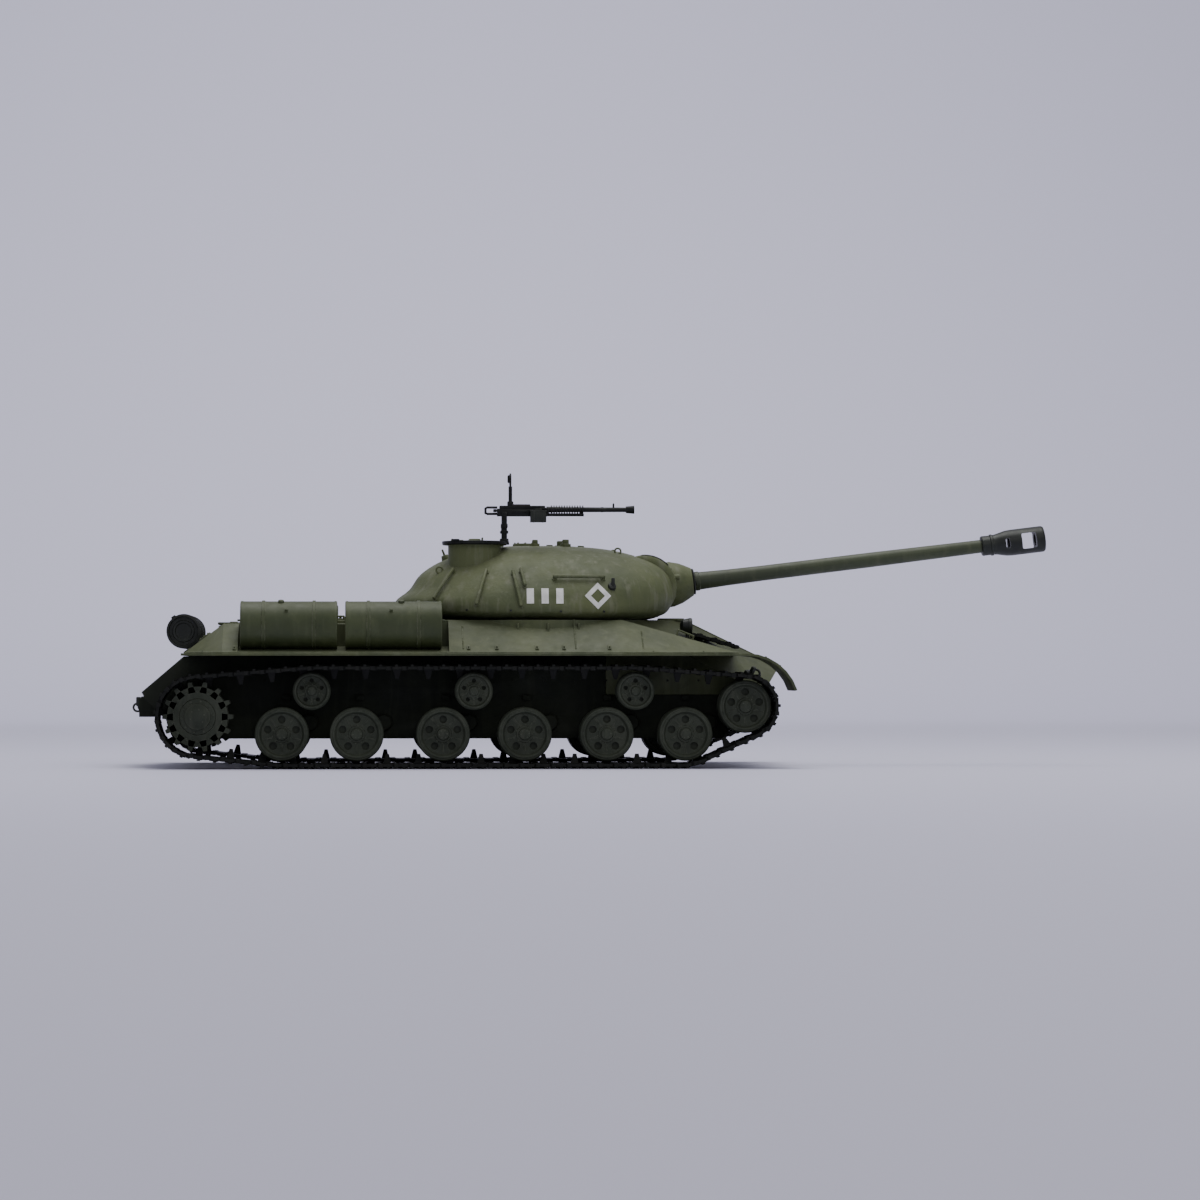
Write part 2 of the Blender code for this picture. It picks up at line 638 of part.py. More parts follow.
def build_upper_hull():
    engine_z = ENGINE_DECK_Z
    sections = [
        casemate_section(REAR_PLATE_X, DECK_HALF_WIDTH, FENDER_TOP_Z),
        casemate_section(ENGINE_DECK_X[0], DECK_HALF_WIDTH, engine_z),
        casemate_section(ENGINE_DECK_X[1], DECK_HALF_WIDTH, engine_z),
        casemate_section(ENGINE_DECK_X[1] + 0.006, DECK_HALF_WIDTH, DECK_Z),
        casemate_section(CASEMATE_FRONT_X[0], DECK_HALF_WIDTH, DECK_Z),
        casemate_section(CASEMATE_FRONT_X[1], DECK_HALF_WIDTH, FENDER_TOP_Z + 0.0002),
    ]
    hull = place(loft("upper_hull", sections), hull_green)
    join(hull, nose("nose", 0))
    join(hull, rod("bulge", BULGE_RADIUS, FENDER_TOP_Z + 0.004, DECK_Z - 0.00005, "Z", (RING_X, 0, 0), 40))
    join(hull, front_fender(1), front_fender(-1))
    join(hull, *studs(in_nose=True))
    cut(hull, drum_bay(1), drum_bay(-1))
    floor = FENDER_TOP_Z + 0.001
    reach = TUB_HALF_WIDTH - WALL
    rear = REAR_PLATE_X + 0.012
    low = [(rear, FENDER_Z - WALL), (rear, floor), (ENGINE_DECK_X[0] - 0.0015, engine_z - WALL),
           (ENGINE_DECK_X[1] - 0.001, engine_z - WALL), (ENGINE_DECK_X[1] + 0.005, DECK_Z - WALL),
           (NOSE_STEP_X + 0.004, DECK_Z - WALL), (NOSE_STEP_X + 0.004, FENDER_Z - WALL)]
    cut(hull, prism("hull_inside", [low], "XZ", -reach, reach))
    slope = (FENDER_HALF_WIDTH - 0.0065, DECK_HALF_WIDTH - 0.0010)
    pods = [(-slope[0], floor), (-slope[1], DECK_Z - WALL), (slope[1], DECK_Z - WALL), (slope[0], floor)]
    cut(hull, prism("side_pods", [pods], "YZ", BAY_X[1] + WALL, CASEMATE_FRONT_X[0] - WALL))
    cut(hull, nose("nose_inside", WALL))
    cut(hull, rod("ring_hole", RING_RADIUS, DECK_Z - 0.010, DECK_Z + 0.010, "Z", (RING_X, 0, 0), 40))
    opening = COVER_HALF_WIDTH - COVER_SEAT
    cut(hull, block("engine_opening", (COVER_X[0] + COVER_SEAT, -opening, engine_z - 0.006),
                    (COVER_X[1] - COVER_SEAT, opening, engine_z + 0.010)))
    hatch_front = GLACIS_TOP_X[0] - 0.0010
    opening_rear = hatch_front - DRIVER_HATCH_HALF * 2 + 0.0020
    opening_half = DRIVER_HATCH_HALF - 0.0025
    low = (opening_rear, -opening_half, DECK_Z - 0.006)
    high = (hatch_front - 0.0035, opening_half, DECK_Z + 0.010)
    cut(hull, block("driver_opening", low, high))
    return hull


def build_covers():
    """The engine cover is hinged along its left edge, and the driver's hatch swivels on a pin."""
    z = ENGINE_DECK_Z + GAP
    cover = block("engine_cover", (COVER_X[0], -COVER_HALF_WIDTH, z),
            (COVER_X[1], COVER_HALF_WIDTH, z + COVER_THICKNESS))
    place(cover, hull_green, (0, COVER_HALF_WIDTH, z))
    inside = COVER_SEAT + SPIN_GAP
    lip = -COVER_HALF_WIDTH + inside
    join(cover, block("lip", (COVER_X[0] + inside, lip, z - 0.0016),
            (COVER_X[1] - inside, lip + LIP_WIDTH, z + 0.0010)))
    for share in LOUVRE_SHARES:
        x = COVER_X[0] + share * (COVER_X[1] - COVER_X[0])
        low = (x - LOUVRE_WIDTH / 2, -COVER_HALF_WIDTH * 0.65, z + 0.0010)
        high = (x + LOUVRE_WIDTH / 2, COVER_HALF_WIDTH * 0.65, z + COVER_THICKNESS + 0.0014)
        join(cover, block("louvre", low, high))
    hatch_z = DECK_Z + GAP
    half = DRIVER_HATCH_HALF
    front = GLACIS_TOP_X[0] - 0.0010
    rear = front - half * 2
    outline = [(rear, -half), (front - 0.005, -half), (front, 0.005 - half), (front, half - 0.005),
               (front - 0.005, half), (rear, half)]
    hatch = prism("driver_hatch", [outline], "XY", hatch_z, hatch_z + 0.0016)
    place(hatch, hull_green, (rear + 0.0020, half - 0.0015, hatch_z))


def build_stowage():
    for side in (1, -1):
        name = side_name(side)
        slope = atan2(SHELF_RISE, FENDER_HALF_WIDTH - BAY_WALL_Y)
        drum_z = shelf_z(DRUM_Y) + (DRUM_RADIUS + GAP) / cos(slope)
        half = DRUM_LENGTH / 2
        edge = DRUM_RADIUS - 0.0012
        profile = [(0, half), (edge, half), (DRUM_RADIUS, half - 0.0012), (DRUM_RADIUS, -half + 0.0012),
                   (edge, -half), (0, -half)]
        for number, way in ((1, -1), (2, 1)):
            x = DRUM_X + way * DRUM_SPACING / 2
            drum = turned(f"{name}_fuel_drum_{number}", profile, "X", (x, side * DRUM_Y, drum_z), 18)
            place(drum, hull_green)
        z = FENDER_Z + CANISTER_RISE
        y = side * CANISTER_Y
        half = CANISTER_LENGTH / 2
        rim = CANISTER_RADIUS - 0.0012
        profile = [(0, half - 0.0015), (rim, half - 0.0015), (rim, half), (CANISTER_RADIUS, half),
                   (CANISTER_RADIUS, -half), (rim, -half), (rim, -half + 0.0015), (0, -half + 0.0015)]
        canister = place(turned(f"{name}_smoke_canister", profile, "Y", (CANISTER_X, y, z), 16), hull_green)
        slant = atan2(ENGINE_DECK_Z - FENDER_TOP_Z, ENGINE_DECK_X[0] - REAR_PLATE_X)
        from_foot = Vector((CANISTER_X - REAR_PLATE_X, 0, z - FENDER_TOP_Z))
        to_plate = from_foot.dot(Vector((-sin(slant), 0, cos(slant)))) - GAP
        for at in (-0.012, 0.012):
            foot = block("bracket", (-0.004, at - 0.0015, -to_plate),
                    (0.004, at + 0.0015, 0.0015 - CANISTER_RADIUS))
            foot.data.transform(Matrix.Translation((CANISTER_X, y, z)) @ Matrix.Rotation(-slant, 4, "Y"))
            join(canister, foot)


def build_lamp():
    z = DECK_Z - 0.0035
    profile = [(0, 0.0042), (LAMP_RADIUS * 0.9, 0.0036), (LAMP_RADIUS, 0.0028), (LAMP_RADIUS, 0.0006),
               (LAMP_RADIUS * 0.75, -0.0034), (0, -0.0050)]
    lamp = place(turned("headlight", profile, "X", (LAMP_X, LAMP_Y, z), 14), gun_dark)
    foot = glacis_z(LAMP_X, LAMP_Y) - LAMP_STEM_RADIUS
    join(lamp, rod("lamp_stem", LAMP_STEM_RADIUS, foot, z - 0.003, "Z", (LAMP_X, LAMP_Y, 0)))
    cut(lamp, nose("lamp_seat", -GAP))


def glacis_z(x, y):
    """Height of the nose plate at a place on it."""
    ridge_fall = (DECK_Z - NOSE_TIP[1]) / (NOSE_TIP[0] - GLACIS_TOP_X[0])
    sweep = (GLACIS_TOP_X[0] - GLACIS_TOP_X[1]) / TUB_HALF_WIDTH
    return DECK_Z - ridge_fall * (x + abs(y) * sweep - GLACIS_TOP_X[0])


def build_inside():
    floor = TUB_BELLY_Z + WALL + GAP
    length, width, height = BATTERY_SIZE
    battery = block("battery_pack", (BATTERY_X - length / 2, -width / 2, floor),
            (BATTERY_X + length / 2, width / 2, floor + height))
    place(battery, cell_wrap)
    bevel = battery.modifiers.new("edges", "BEVEL")
    bevel.width = 0.003
    bevel.segments = 2
    length, width, height = BOARD_SIZE
    board = block("control_board", (BOARD_X - length / 2, -width / 2, floor + 0.003),
                  (BOARD_X + length / 2, width / 2, floor + 0.003 + height))
    place(board, board_green)
    top = floor + 0.003
    for dx, dy, sx, sy, tall in ((-0.022, 0.012, 0.018, 0.014, 0.008),
            (0.014, -0.010, 0.020, 0.020, 0.006)):
        x = BOARD_X + dx
        join(board, block("chip", (x - sx / 2, dy - sy / 2, top + 0.0008),
                (x + sx / 2, dy + sy / 2, top + tall)))
    for x in (-0.034, 0.034):
        for y in (-0.022, 0.022):
            join(board, rod("standoff", 0.0020, floor, top + 0.0008, "Z", (BOARD_X + x, y, 0)))
    for side in (1, -1):
        length, width, height = GEARBOX_SIZE
        inner = 0.0090
        low = sorted((side * inner, side * (inner + width)))
        base = SPROCKET_Z - 0.0072
        gearbox = block(f"{side_name(side)}_gearbox", (SPROCKET_X - 0.0105, low[0], base),
                        (SPROCKET_X - 0.0105 + length, low[1], base + height))
        place(gearbox, gearbox_grey)
        join(gearbox, rod("motor", MOTOR_RADIUS, *low, "Y", (MOTOR_X, 0, SPROCKET_Z + 0.002), 14))
        bore = sorted((side * 0.034, side * 0.050))
        cut(gearbox, rod("bore", SHAFT_RADIUS + SPIN_GAP, *bore, "Y", (SPROCKET_X, 0, SPROCKET_Z), 12))


# Plan of the turret by height: (share of its height, rear X, front X, half width)
TURRET_LEVELS = (
    (0.000, TURRET_REAR_X + 0.031, TURRET_NOSE_X - 0.020, TURRET_HALF_WIDTH - 0.0125),
    (0.064, TURRET_REAR_X + 0.011, TURRET_NOSE_X - 0.008, TURRET_HALF_WIDTH - 0.0020),
    (0.136, TURRET_REAR_X + 0.003, TURRET_NOSE_X - 0.003, TURRET_HALF_WIDTH),
    (0.260, TURRET_REAR_X, TURRET_NOSE_X, TURRET_HALF_WIDTH - 0.0015),
    (0.415, TURRET_REAR_X + 0.009, TURRET_NOSE_X, TURRET_HALF_WIDTH - 0.0050),
    (0.615, TURRET_REAR_X + 0.016, TURRET_NOSE_X - 0.003, TURRET_HALF_WIDTH - 0.0135),
    (0.780, TURRET_REAR_X + 0.028, TURRET_NOSE_X - 0.013, TURRET_HALF_WIDTH - 0.0230),
    (0.905, TURRET_REAR_X + 0.044, TURRET_NOSE_X - 0.031, TURRET_HALF_WIDTH - 0.0350),
    (0.970, TURRET_REAR_X + 0.057, TURRET_NOSE_X - 0.048, TURRET_HALF_WIDTH - 0.0450),
    (1.000, TURRET_REAR_X + 0.072, TURRET_NOSE_X - 0.066, TURRET_HALF_WIDTH - 0.0570),
)
ROUNDNESS = 2.35                # 2 is an ellipse, more is squarer


def turret_ring(level, points, inset):
    share, rear, front, half = level
    middle, reach = (rear + front) / 2, (front - rear) / 2
    z = TURRET_Z + share * TURRET_HEIGHT - (inset if share > 0.8 else 0)
    ring = []
    for k in range(points):
        c, s = cos(tau * k / points), sin(tau * k / points)
        x = middle + (reach - inset) * abs(c) ** (2 / ROUNDNESS) * (1 if c > 0 else -1)
        ring.append((x, (half - inset) * abs(s) ** (2 / ROUNDNESS) * (1 if s > 0 else -1), z))
    return ring


def build_turret():
    shell = loft("turret_shell", [turret_ring(level, 24, 0) for level in TURRET_LEVELS])
    place(shell, turret_green, (RING_X, 0, TURRET_Z))
    for side, radius in ((1, COLLAR_RADIUS - 0.0010), (-1, COLLAR_RADIUS)):
        centre = (HATCH_X, side * HATCH_Y, 0)
        join(shell, rod("collar", radius, TURRET_TOP_Z - 0.016, COLLAR_TOP_Z, "Z", centre, 24))
    hollow = [turret_ring(level, 14, TURRET_WALL) for level in TURRET_LEVELS[1:9]]
    cut(shell, loft("turret_inside", hollow))
    ring_inside = RING_RADIUS - SPIN_GAP - RACE_WALL
    cut(shell, rod("ring_mouth", ring_inside, TURRET_Z - 0.002, TURRET_Z + 0.006, "Z", (RING_X, 0, 0), 40))
    slot = MANTLET_HALF_WIDTH + SPIN_GAP
    round_slot = MANTLET_RADIUS + SPIN_GAP
    cut(shell, rod("mantlet_slot", round_slot, -slot, slot, "Y", (TRUNNION_X, 0, TRUNNION_Z), 32))
    cut(shell, block("mantlet_mouth", (TRUNNION_X, -slot, TURRET_Z + 0.0025),
            (TURRET_NOSE_X + 0.010, slot, TURRET_TOP_Z)))
    for side in (1, -1):
        hole = rod("hatch_hole", HATCH_RADIUS + SPIN_GAP, TURRET_TOP_Z - 0.020, COLLAR_TOP_Z + 0.002, "Z",
                   (HATCH_X, side * HATCH_Y, 0), 24)
        cut(shell, hole)
    outer = RING_RADIUS - SPIN_GAP
    under = DECK_Z - WALL - SPIN_GAP
    profile = [(outer, TURRET_Z - GAP), (outer, under), (outer + 0.003, under),
            (outer + 0.003, under - 0.0022),
               (outer - RACE_WALL, under - 0.0022), (outer - RACE_WALL, TURRET_Z - GAP)]
    place(turned("turret_race", profile, "Z", (RING_X, 0, 0), 30), gearbox_grey, (RING_X, 0, DECK_Z))


def build_hatches():
    z = COLLAR_TOP_Z - HATCH_THICKNESS + 0.0006
    hinge = (HATCH_X - HATCH_RADIUS - 0.0010, COLLAR_TOP_Z + HATCH_HINGE_RISE)
    for side, name in ((1, "commander_hatch"), (-1, "loader_hatch")):
        y = side * HATCH_Y
        lid = rod(name, HATCH_RADIUS, z, z + HATCH_THICKNESS, "Z", (HATCH_X, y, 0), 24)
        place(lid, turret_green, (hinge[0], y, hinge[1]))
        top = z + HATCH_THICKNESS
        join(lid, block("lug", (hinge[0] - 0.0006, y - 0.004, top - 0.0004),
                (HATCH_X - 0.008, y + 0.004, hinge[1] + 0.0008)))
        join(lid, rod("lid_dome", HATCH_RADIUS - 0.002, top - 0.0004, top + 0.0008, "Z", (HATCH_X, y, 0),
                24,
                      far_radius=HATCH_RADIUS - 0.0045))


def build_gun():
    cradle = bpy.data.objects.new("gun_cradle", None)
    cradle.parent = frame
    cradle.location = (TRUNNION_X, 0, TRUNNION_Z)
    cradle.rotation_euler.y = -GUN_ELEVATION
    cradle["origin"] = (TRUNNION_X, 0, TRUNNION_Z)
    parts.objects.link(cradle)

    def on_cradle(obj, paint):
        place(obj, paint)
        obj.parent = cradle
        return obj

    half = MANTLET_HALF_WIDTH
    edge = MANTLET_RADIUS - 0.002
    profile = [(0, half), (edge, half), (MANTLET_RADIUS, half - 0.002), (MANTLET_RADIUS, -half + 0.002),
            (edge, -half), (0, -half)]
    mantlet = on_cradle(turned("mantlet", profile, "Y", (0, 0, 0), 24), turret_green)
    join(mantlet, rod("sleeve", SLEEVE_RADII[0], *SLEEVE_X, "X", (0, 0, 0), 18, far_radius=SLEEVE_RADII[1]))
    spigot = SPIGOT_RADIUS + 0.0010
    cut(mantlet, rod("barrel_seat", spigot + SPIN_GAP, SLEEVE_X[1] - 0.012, SLEEVE_X[1] + 0.002, "X",
            (0, 0, 0), 12))
    start = SLEEVE_X[1] + GAP
    end = start + BARREL_LENGTH
    tip = BARREL_RADIUS - 0.0006
    profile = [
        (0, end + SPIGOT_LENGTH), (SPIGOT_RADIUS, end + SPIGOT_LENGTH), (SPIGOT_RADIUS, end), (tip, end),
        (BARREL_RADIUS - 0.0003, end - 0.030), (BARREL_RADIUS, end - 0.080), (BARREL_RADIUS + 0.0003,
                start + 0.030),
        (BARREL_RADIUS + 0.0011, start), (spigot, start), (spigot, start - 0.010), (0, start - 0.010),
    ]
    on_cradle(turned("gun_barrel", profile, "X", (0, 0, 0), 14), gun_green)
    rear = end + GAP
    front = rear + BRAKE_LENGTH
    neck = BRAKE_RADIUS * 0.77
    bore = SPIGOT_RADIUS + GAP
    profile = [
        (bore, front), (BRAKE_RADIUS - 0.0006, front), (BRAKE_RADIUS, front - 0.002), (BRAKE_RADIUS,
                front - 0.026),
        (neck, front - 0.032), (neck, rear), (bore, rear),
    ]
    brake = on_cradle(turned("muzzle_brake", profile, "X", (0, 0, 0), 14), gun_dark)
    reach = BRAKE_RADIUS * 1.3
    for near, far, tall in ((0.0235, 0.0265, 0.0030), (0.0070, 0.0155, 0.0046)):
        cut(brake, block("port", (front - far + 0.0005, -reach, -tall), (front - near, reach, tall)))


def build_machine_gun():
    y = -HATCH_Y
    ring_inner = COLLAR_RADIUS + SPIN_GAP
    profile = [(MOUNT_RING_RADIUS, MOUNT_Z + MOUNT_RING_HEIGHT), (MOUNT_RING_RADIUS, MOUNT_Z),
               (ring_inner, MOUNT_Z), (ring_inner, MOUNT_Z + MOUNT_RING_HEIGHT)]
    mount = turned("mg_mount", profile, "Z", (HATCH_X, y, 0), 24)
    place(mount, gun_dark, (HATCH_X, y, MOUNT_Z))
    top = MG_Z - FORK_DROP
    join(mount, rod("post", POST_RADIUS, MOUNT_Z + 0.0010, top - 0.002, "Z", (POST_X, y, 0), 12))
    fork = block("fork", (POST_X - 0.0022, y - 0.0045, top - 0.004),
            (POST_X + 0.0022, y + 0.0045, top - 0.0012))
    join(mount, fork)
    for way in (-1, 1):
        sides = sorted((y + way * 0.0045, y + way * 0.0032))
        join(mount, block("cheek", (POST_X - 0.0018, sides[0], top - 0.002),
                (POST_X + 0.0018, sides[1], MG_Z + 0.0020)))
    body_z = MG_Z + 0.0030
    gun = block("machine_gun", (POST_X - 0.0060, y - 0.0026, MG_Z - 0.0014),
            (POST_X + 0.0290, y + 0.0026, body_z + 0.0035))
    place(gun, gun_dark, (POST_X, y, MG_Z))
    muzzle = POST_X + 0.0290 + MG_LENGTH
    join(gun, rod("mg_barrel", 0.0014, POST_X + 0.0270, muzzle, "X", (0, y, body_z), 10))
    join(gun, rod("gas_tube", 0.0010, POST_X + 0.0270, POST_X + 0.0480, "X", (0, y, MG_Z - 0.0004), 8))
    join(gun, block("bracket", (POST_X + 0.0450, y - 0.0008, MG_Z - 0.0008),
            (POST_X + 0.0470, y + 0.0008, body_z)))
    join(gun, block("ammo_box", (POST_X + 0.0170, y - 0.0075, MG_Z - 0.0055),
            (POST_X + 0.0270, y - 0.0010, MG_Z + 0.0020)))
    for low, high in ((MG_Z - 0.0008, MG_Z + 0.0006), (body_z + 0.0006, body_z + 0.0020)):
        join(gun, block("handle_arm", (POST_X - 0.0125, y - 0.0012, low),
                (POST_X - 0.0040, y + 0.0012, high)))
    join(gun, block("grip", (POST_X - 0.0125, y - 0.0012, MG_Z - 0.0008),
            (POST_X - 0.0105, y + 0.0012, body_z + 0.0020)))
    sight_x = POST_X + 0.0040
    join(gun, rod("sight_stem", 0.0011, body_z, MG_Z + MG_SIGHT_HEIGHT - 0.008, "Z", (sight_x, y, 0), 8))
    join(gun, rod("sight", 0.0048, -0.0008, 0.0008, "X", (sight_x, y, MG_Z + MG_SIGHT_HEIGHT - 0.0048), 14))
    join(gun, block("front_sight", (muzzle - 0.0140, y - 0.0005, body_z),
            (muzzle - 0.0128, y + 0.0005, body_z + 0.0034)))


build_running_gear()
build_tub()
build_upper_hull()
build_covers()
build_stowage()
build_lamp()
build_inside()
build_turret()
build_hatches()
build_gun()
build_machine_gun()
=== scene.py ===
import math

import bmesh
import bpy
from mathutils import Matrix, Vector
from mathutils.bvhtree import BVHTree


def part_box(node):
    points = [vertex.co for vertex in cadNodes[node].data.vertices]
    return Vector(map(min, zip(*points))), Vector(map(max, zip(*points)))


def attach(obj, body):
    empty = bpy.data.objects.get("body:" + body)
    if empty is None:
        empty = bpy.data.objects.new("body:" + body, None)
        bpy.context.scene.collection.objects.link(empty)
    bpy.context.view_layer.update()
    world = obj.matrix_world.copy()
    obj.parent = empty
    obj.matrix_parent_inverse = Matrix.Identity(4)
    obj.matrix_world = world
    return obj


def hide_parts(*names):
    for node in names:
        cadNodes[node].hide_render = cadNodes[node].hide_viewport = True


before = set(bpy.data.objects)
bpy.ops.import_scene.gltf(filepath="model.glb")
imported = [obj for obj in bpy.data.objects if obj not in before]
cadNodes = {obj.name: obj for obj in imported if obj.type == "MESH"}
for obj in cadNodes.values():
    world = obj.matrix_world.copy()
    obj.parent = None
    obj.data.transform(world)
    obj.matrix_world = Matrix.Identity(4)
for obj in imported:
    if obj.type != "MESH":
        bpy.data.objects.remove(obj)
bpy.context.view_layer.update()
print("frame loaded,", len(cadNodes), "nodes")


# small tools
def nodeMiddle(nodeName):
    low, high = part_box(nodeName)
    return (low + high) / 2


def skinOf(nodeName):
    cadMesh = cadNodes[nodeName].data
    points = [v.co.copy() for v in cadMesh.vertices]
    return BVHTree.FromPolygons(points, [tuple(p.vertices) for p in cadMesh.polygons])


def touch(skin, start, heading):
    point, normal = skin.ray_cast(Vector(start), Vector(heading))[:2]
    return point, normal


def turnTo(direction, roll=0.0):
    return Vector(direction).normalized().to_track_quat("Z",
            "Y").to_matrix().to_4x4() @ Matrix.Rotation(roll, 4, "Z")


def addBlock(bm, size, at, turn=Matrix.Identity(4), soft=0.0):
    made = bmesh.ops.create_cube(bm, size=1.0,
            matrix=Matrix.Translation(at) @ turn @ Matrix.Diagonal((*size, 1)))["verts"]
    if soft:
        edges = list({e for v in made for e in v.link_edges})
        bmesh.ops.bevel(bm, geom=edges, offset=soft, segments=2, profile=0.5, affect="EDGES", material=-1)
    return made


def addRod(bm, start, end, radius, endRadius=None, sides=16, soft=0.0):
    start, end = Vector(start), Vector(end)
    place = Matrix.Translation((start + end) / 2) @ turnTo(end - start)
    made = bmesh.ops.create_cone(bm, cap_ends=True, segments=sides, radius1=radius,
            depth=(end - start).length,
                                 radius2=radius if endRadius is None else endRadius, matrix=place)["verts"]
    if soft:
        edges = [e for e in {e for v in made for e in v.link_edges} if len(e.link_faces) == 2 and e.calc_face_angle() > 0.9]
        bmesh.ops.bevel(bm, geom=edges, offset=soft, segments=2, profile=0.5, affect="EDGES", material=-1)
    return made


def addBall(bm, at, radius, scale=(1, 1, 1), sides=12):
    place = Matrix.Translation(at) @ Matrix.Diagonal((*scale, 1))
    return bmesh.ops.create_uvsphere(bm, u_segments=sides, v_segments=max(6, sides // 2), radius=radius,
            matrix=place)["verts"]


def addTurned(bm, outline, place=Matrix.Identity(4), sides=48, closed=True):
    verts = [bm.verts.new((r, 0, h)) for r, h in outline]
    pairs = list(zip(verts, verts[1:])) + ([(verts[-1], verts[0])] if closed else [])
    edges = [bm.edges.new(pair) for pair in pairs]
    before = set(bm.verts) - set(verts)
    bmesh.ops.spin(bm, geom=verts + edges, cent=(0, 0, 0), axis=(0, 0, 1), angle=math.tau, steps=sides,
            use_merge=True)
    made = [v for v in bm.verts if v not in before]
    bmesh.ops.remove_doubles(bm, verts=made, dist=1e-6)
    made = [v for v in bm.verts if v not in before]
    bmesh.ops.transform(bm, matrix=place, verts=made)
    return made


def addPipe(bm, points, radius, sides=8):
    for start, end in zip(points, points[1:]):
        addRod(bm, start, end, radius, sides=sides)
    for point in points[1:-1]:
        addBall(bm, point, radius, sides=sides)


def addBolt(bm, at, normal, radius, height):
    at, normal = Vector(at), Vector(normal).normalized()
    addRod(bm, at - normal * height * 0.3, at + normal * height, radius, radius * 0.9, sides=6)


def addRing(bm, at, normal, radius, wire, sides=28):
    outline = [(radius + wire * math.cos(a),
            wire * math.sin(a)) for a in [math.tau * k / 8 for k in range(8)]]
    return addTurned(bm, outline, Matrix.Translation(at) @ turnTo(normal), sides)


def finishMesh(bm, name, smoothAngle=35):
    bmesh.ops.recalc_face_normals(bm, faces=bm.faces)
    mesh = bpy.data.meshes.new(name)
    bm.to_mesh(mesh)
    bm.free()
    mesh.shade_smooth()
    mesh.set_sharp_from_angle(angle=math.radians(smoothAngle))
    return mesh


def addPiece(bm, name, material, body, replaced=(), smoothAngle=35):
    mesh = bm if isinstance(bm, bpy.types.Mesh) else finishMesh(bm, name, smoothAngle)
    piece = bpy.data.objects.new(name, mesh)
    bpy.context.scene.collection.objects.link(piece)
    for paint in material if isinstance(material, (list, tuple)) else [material]:
        mesh.materials.append(paint)
    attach(piece, body)
    if replaced:
        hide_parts(*replaced)
    return piece


def movedCopy(mesh, name, matrix):
    copied = mesh.copy()
    copied.name = name
    copied.transform(matrix)
    if matrix.determinant() < 0:
        copied.flip_normals()
    return copied


def addCopy(bm, mesh, matrix):
    # adds a moved copy of a finished mesh to a shape that is being built
    before = len(bm.verts)
    bm.from_mesh(mesh)
    bm.verts.ensure_lookup_table()
    bmesh.ops.transform(bm, matrix=matrix, verts=bm.verts[before:])


def softenedNode(nodeName, material, body, bevel=0.0003, angle=30):
    # the CAD shape with its loose triangles joined up and its edges rounded a little
    bm = bmesh.new()
    bm.from_mesh(cadNodes[nodeName].data)
    bmesh.ops.remove_doubles(bm, verts=bm.verts, dist=2e-6)
    bmesh.ops.dissolve_limit(bm, angle_limit=math.radians(1.0), verts=bm.verts, edges=bm.edges)
    edges = [e for e in bm.edges if len(e.link_faces) == 2 and e.calc_face_angle() > math.radians(angle)]
    bmesh.ops.bevel(bm, geom=edges, offset=bevel, segments=2, profile=0.5, affect="EDGES", material=-1,
            clamp_overlap=True)
    return addPiece(bm, nodeName + "_finished", material, body, (nodeName,), 40)


# paints
def link(tree, fromSocket, toSocket):
    tree.links.new(fromSocket, toSocket)


def addNode(tree, kind, **inputs):
    made = tree.nodes.new(kind)
    for key, value in inputs.items():
        made.inputs[key.replace("_", " ")].default_value = value
    return made


def noiseOf(tree, place, scale, detail=4.0, stretch=None):
    if stretch:
        mapping = addNode(tree, "ShaderNodeMapping", Scale=stretch)
        link(tree, place, mapping.inputs["Vector"])
        place = mapping.outputs["Vector"]
    noise = addNode(tree, "ShaderNodeTexNoise", Scale=scale, Detail=detail, Roughness=0.6)
    link(tree, place, noise.inputs["Vector"])
    return noise.outputs["Fac"]


def rampOf(tree, source, low, high, toLow=0.0, toHigh=1.0):
    ramp = tree.nodes.new("ShaderNodeMapRange")
    ramp.inputs["From Min"].default_value = low
    ramp.inputs["From Max"].default_value = high
    ramp.inputs["To Min"].default_value = toLow
    ramp.inputs["To Max"].default_value = toHigh
    link(tree, source, ramp.inputs["Value"])
    return ramp.outputs["Result"]


def mathOf(tree, operation, first, second):
    made = tree.nodes.new("ShaderNodeMath")
    made.operation = operation
    for socket, value in zip(made.inputs, (first, second)):
        if isinstance(value, (int, float)):
            socket.default_value = value
        else:
            link(tree, value, socket)
    return made.outputs["Value"]


def mixOf(tree, share, first, second):
    mix = tree.nodes.new("ShaderNodeMix")
    mix.data_type = "RGBA"
    for socket, value in ((mix.inputs["Factor"], share), (mix.inputs["A"], first),
            (mix.inputs["B"], second)):
        if isinstance(value, tuple):
            socket.default_value = (*value, 1)
        elif isinstance(value, (int, float)):
            socket.default_value = value
        else:
            link(tree, value, socket)
    return mix.outputs["Result"]


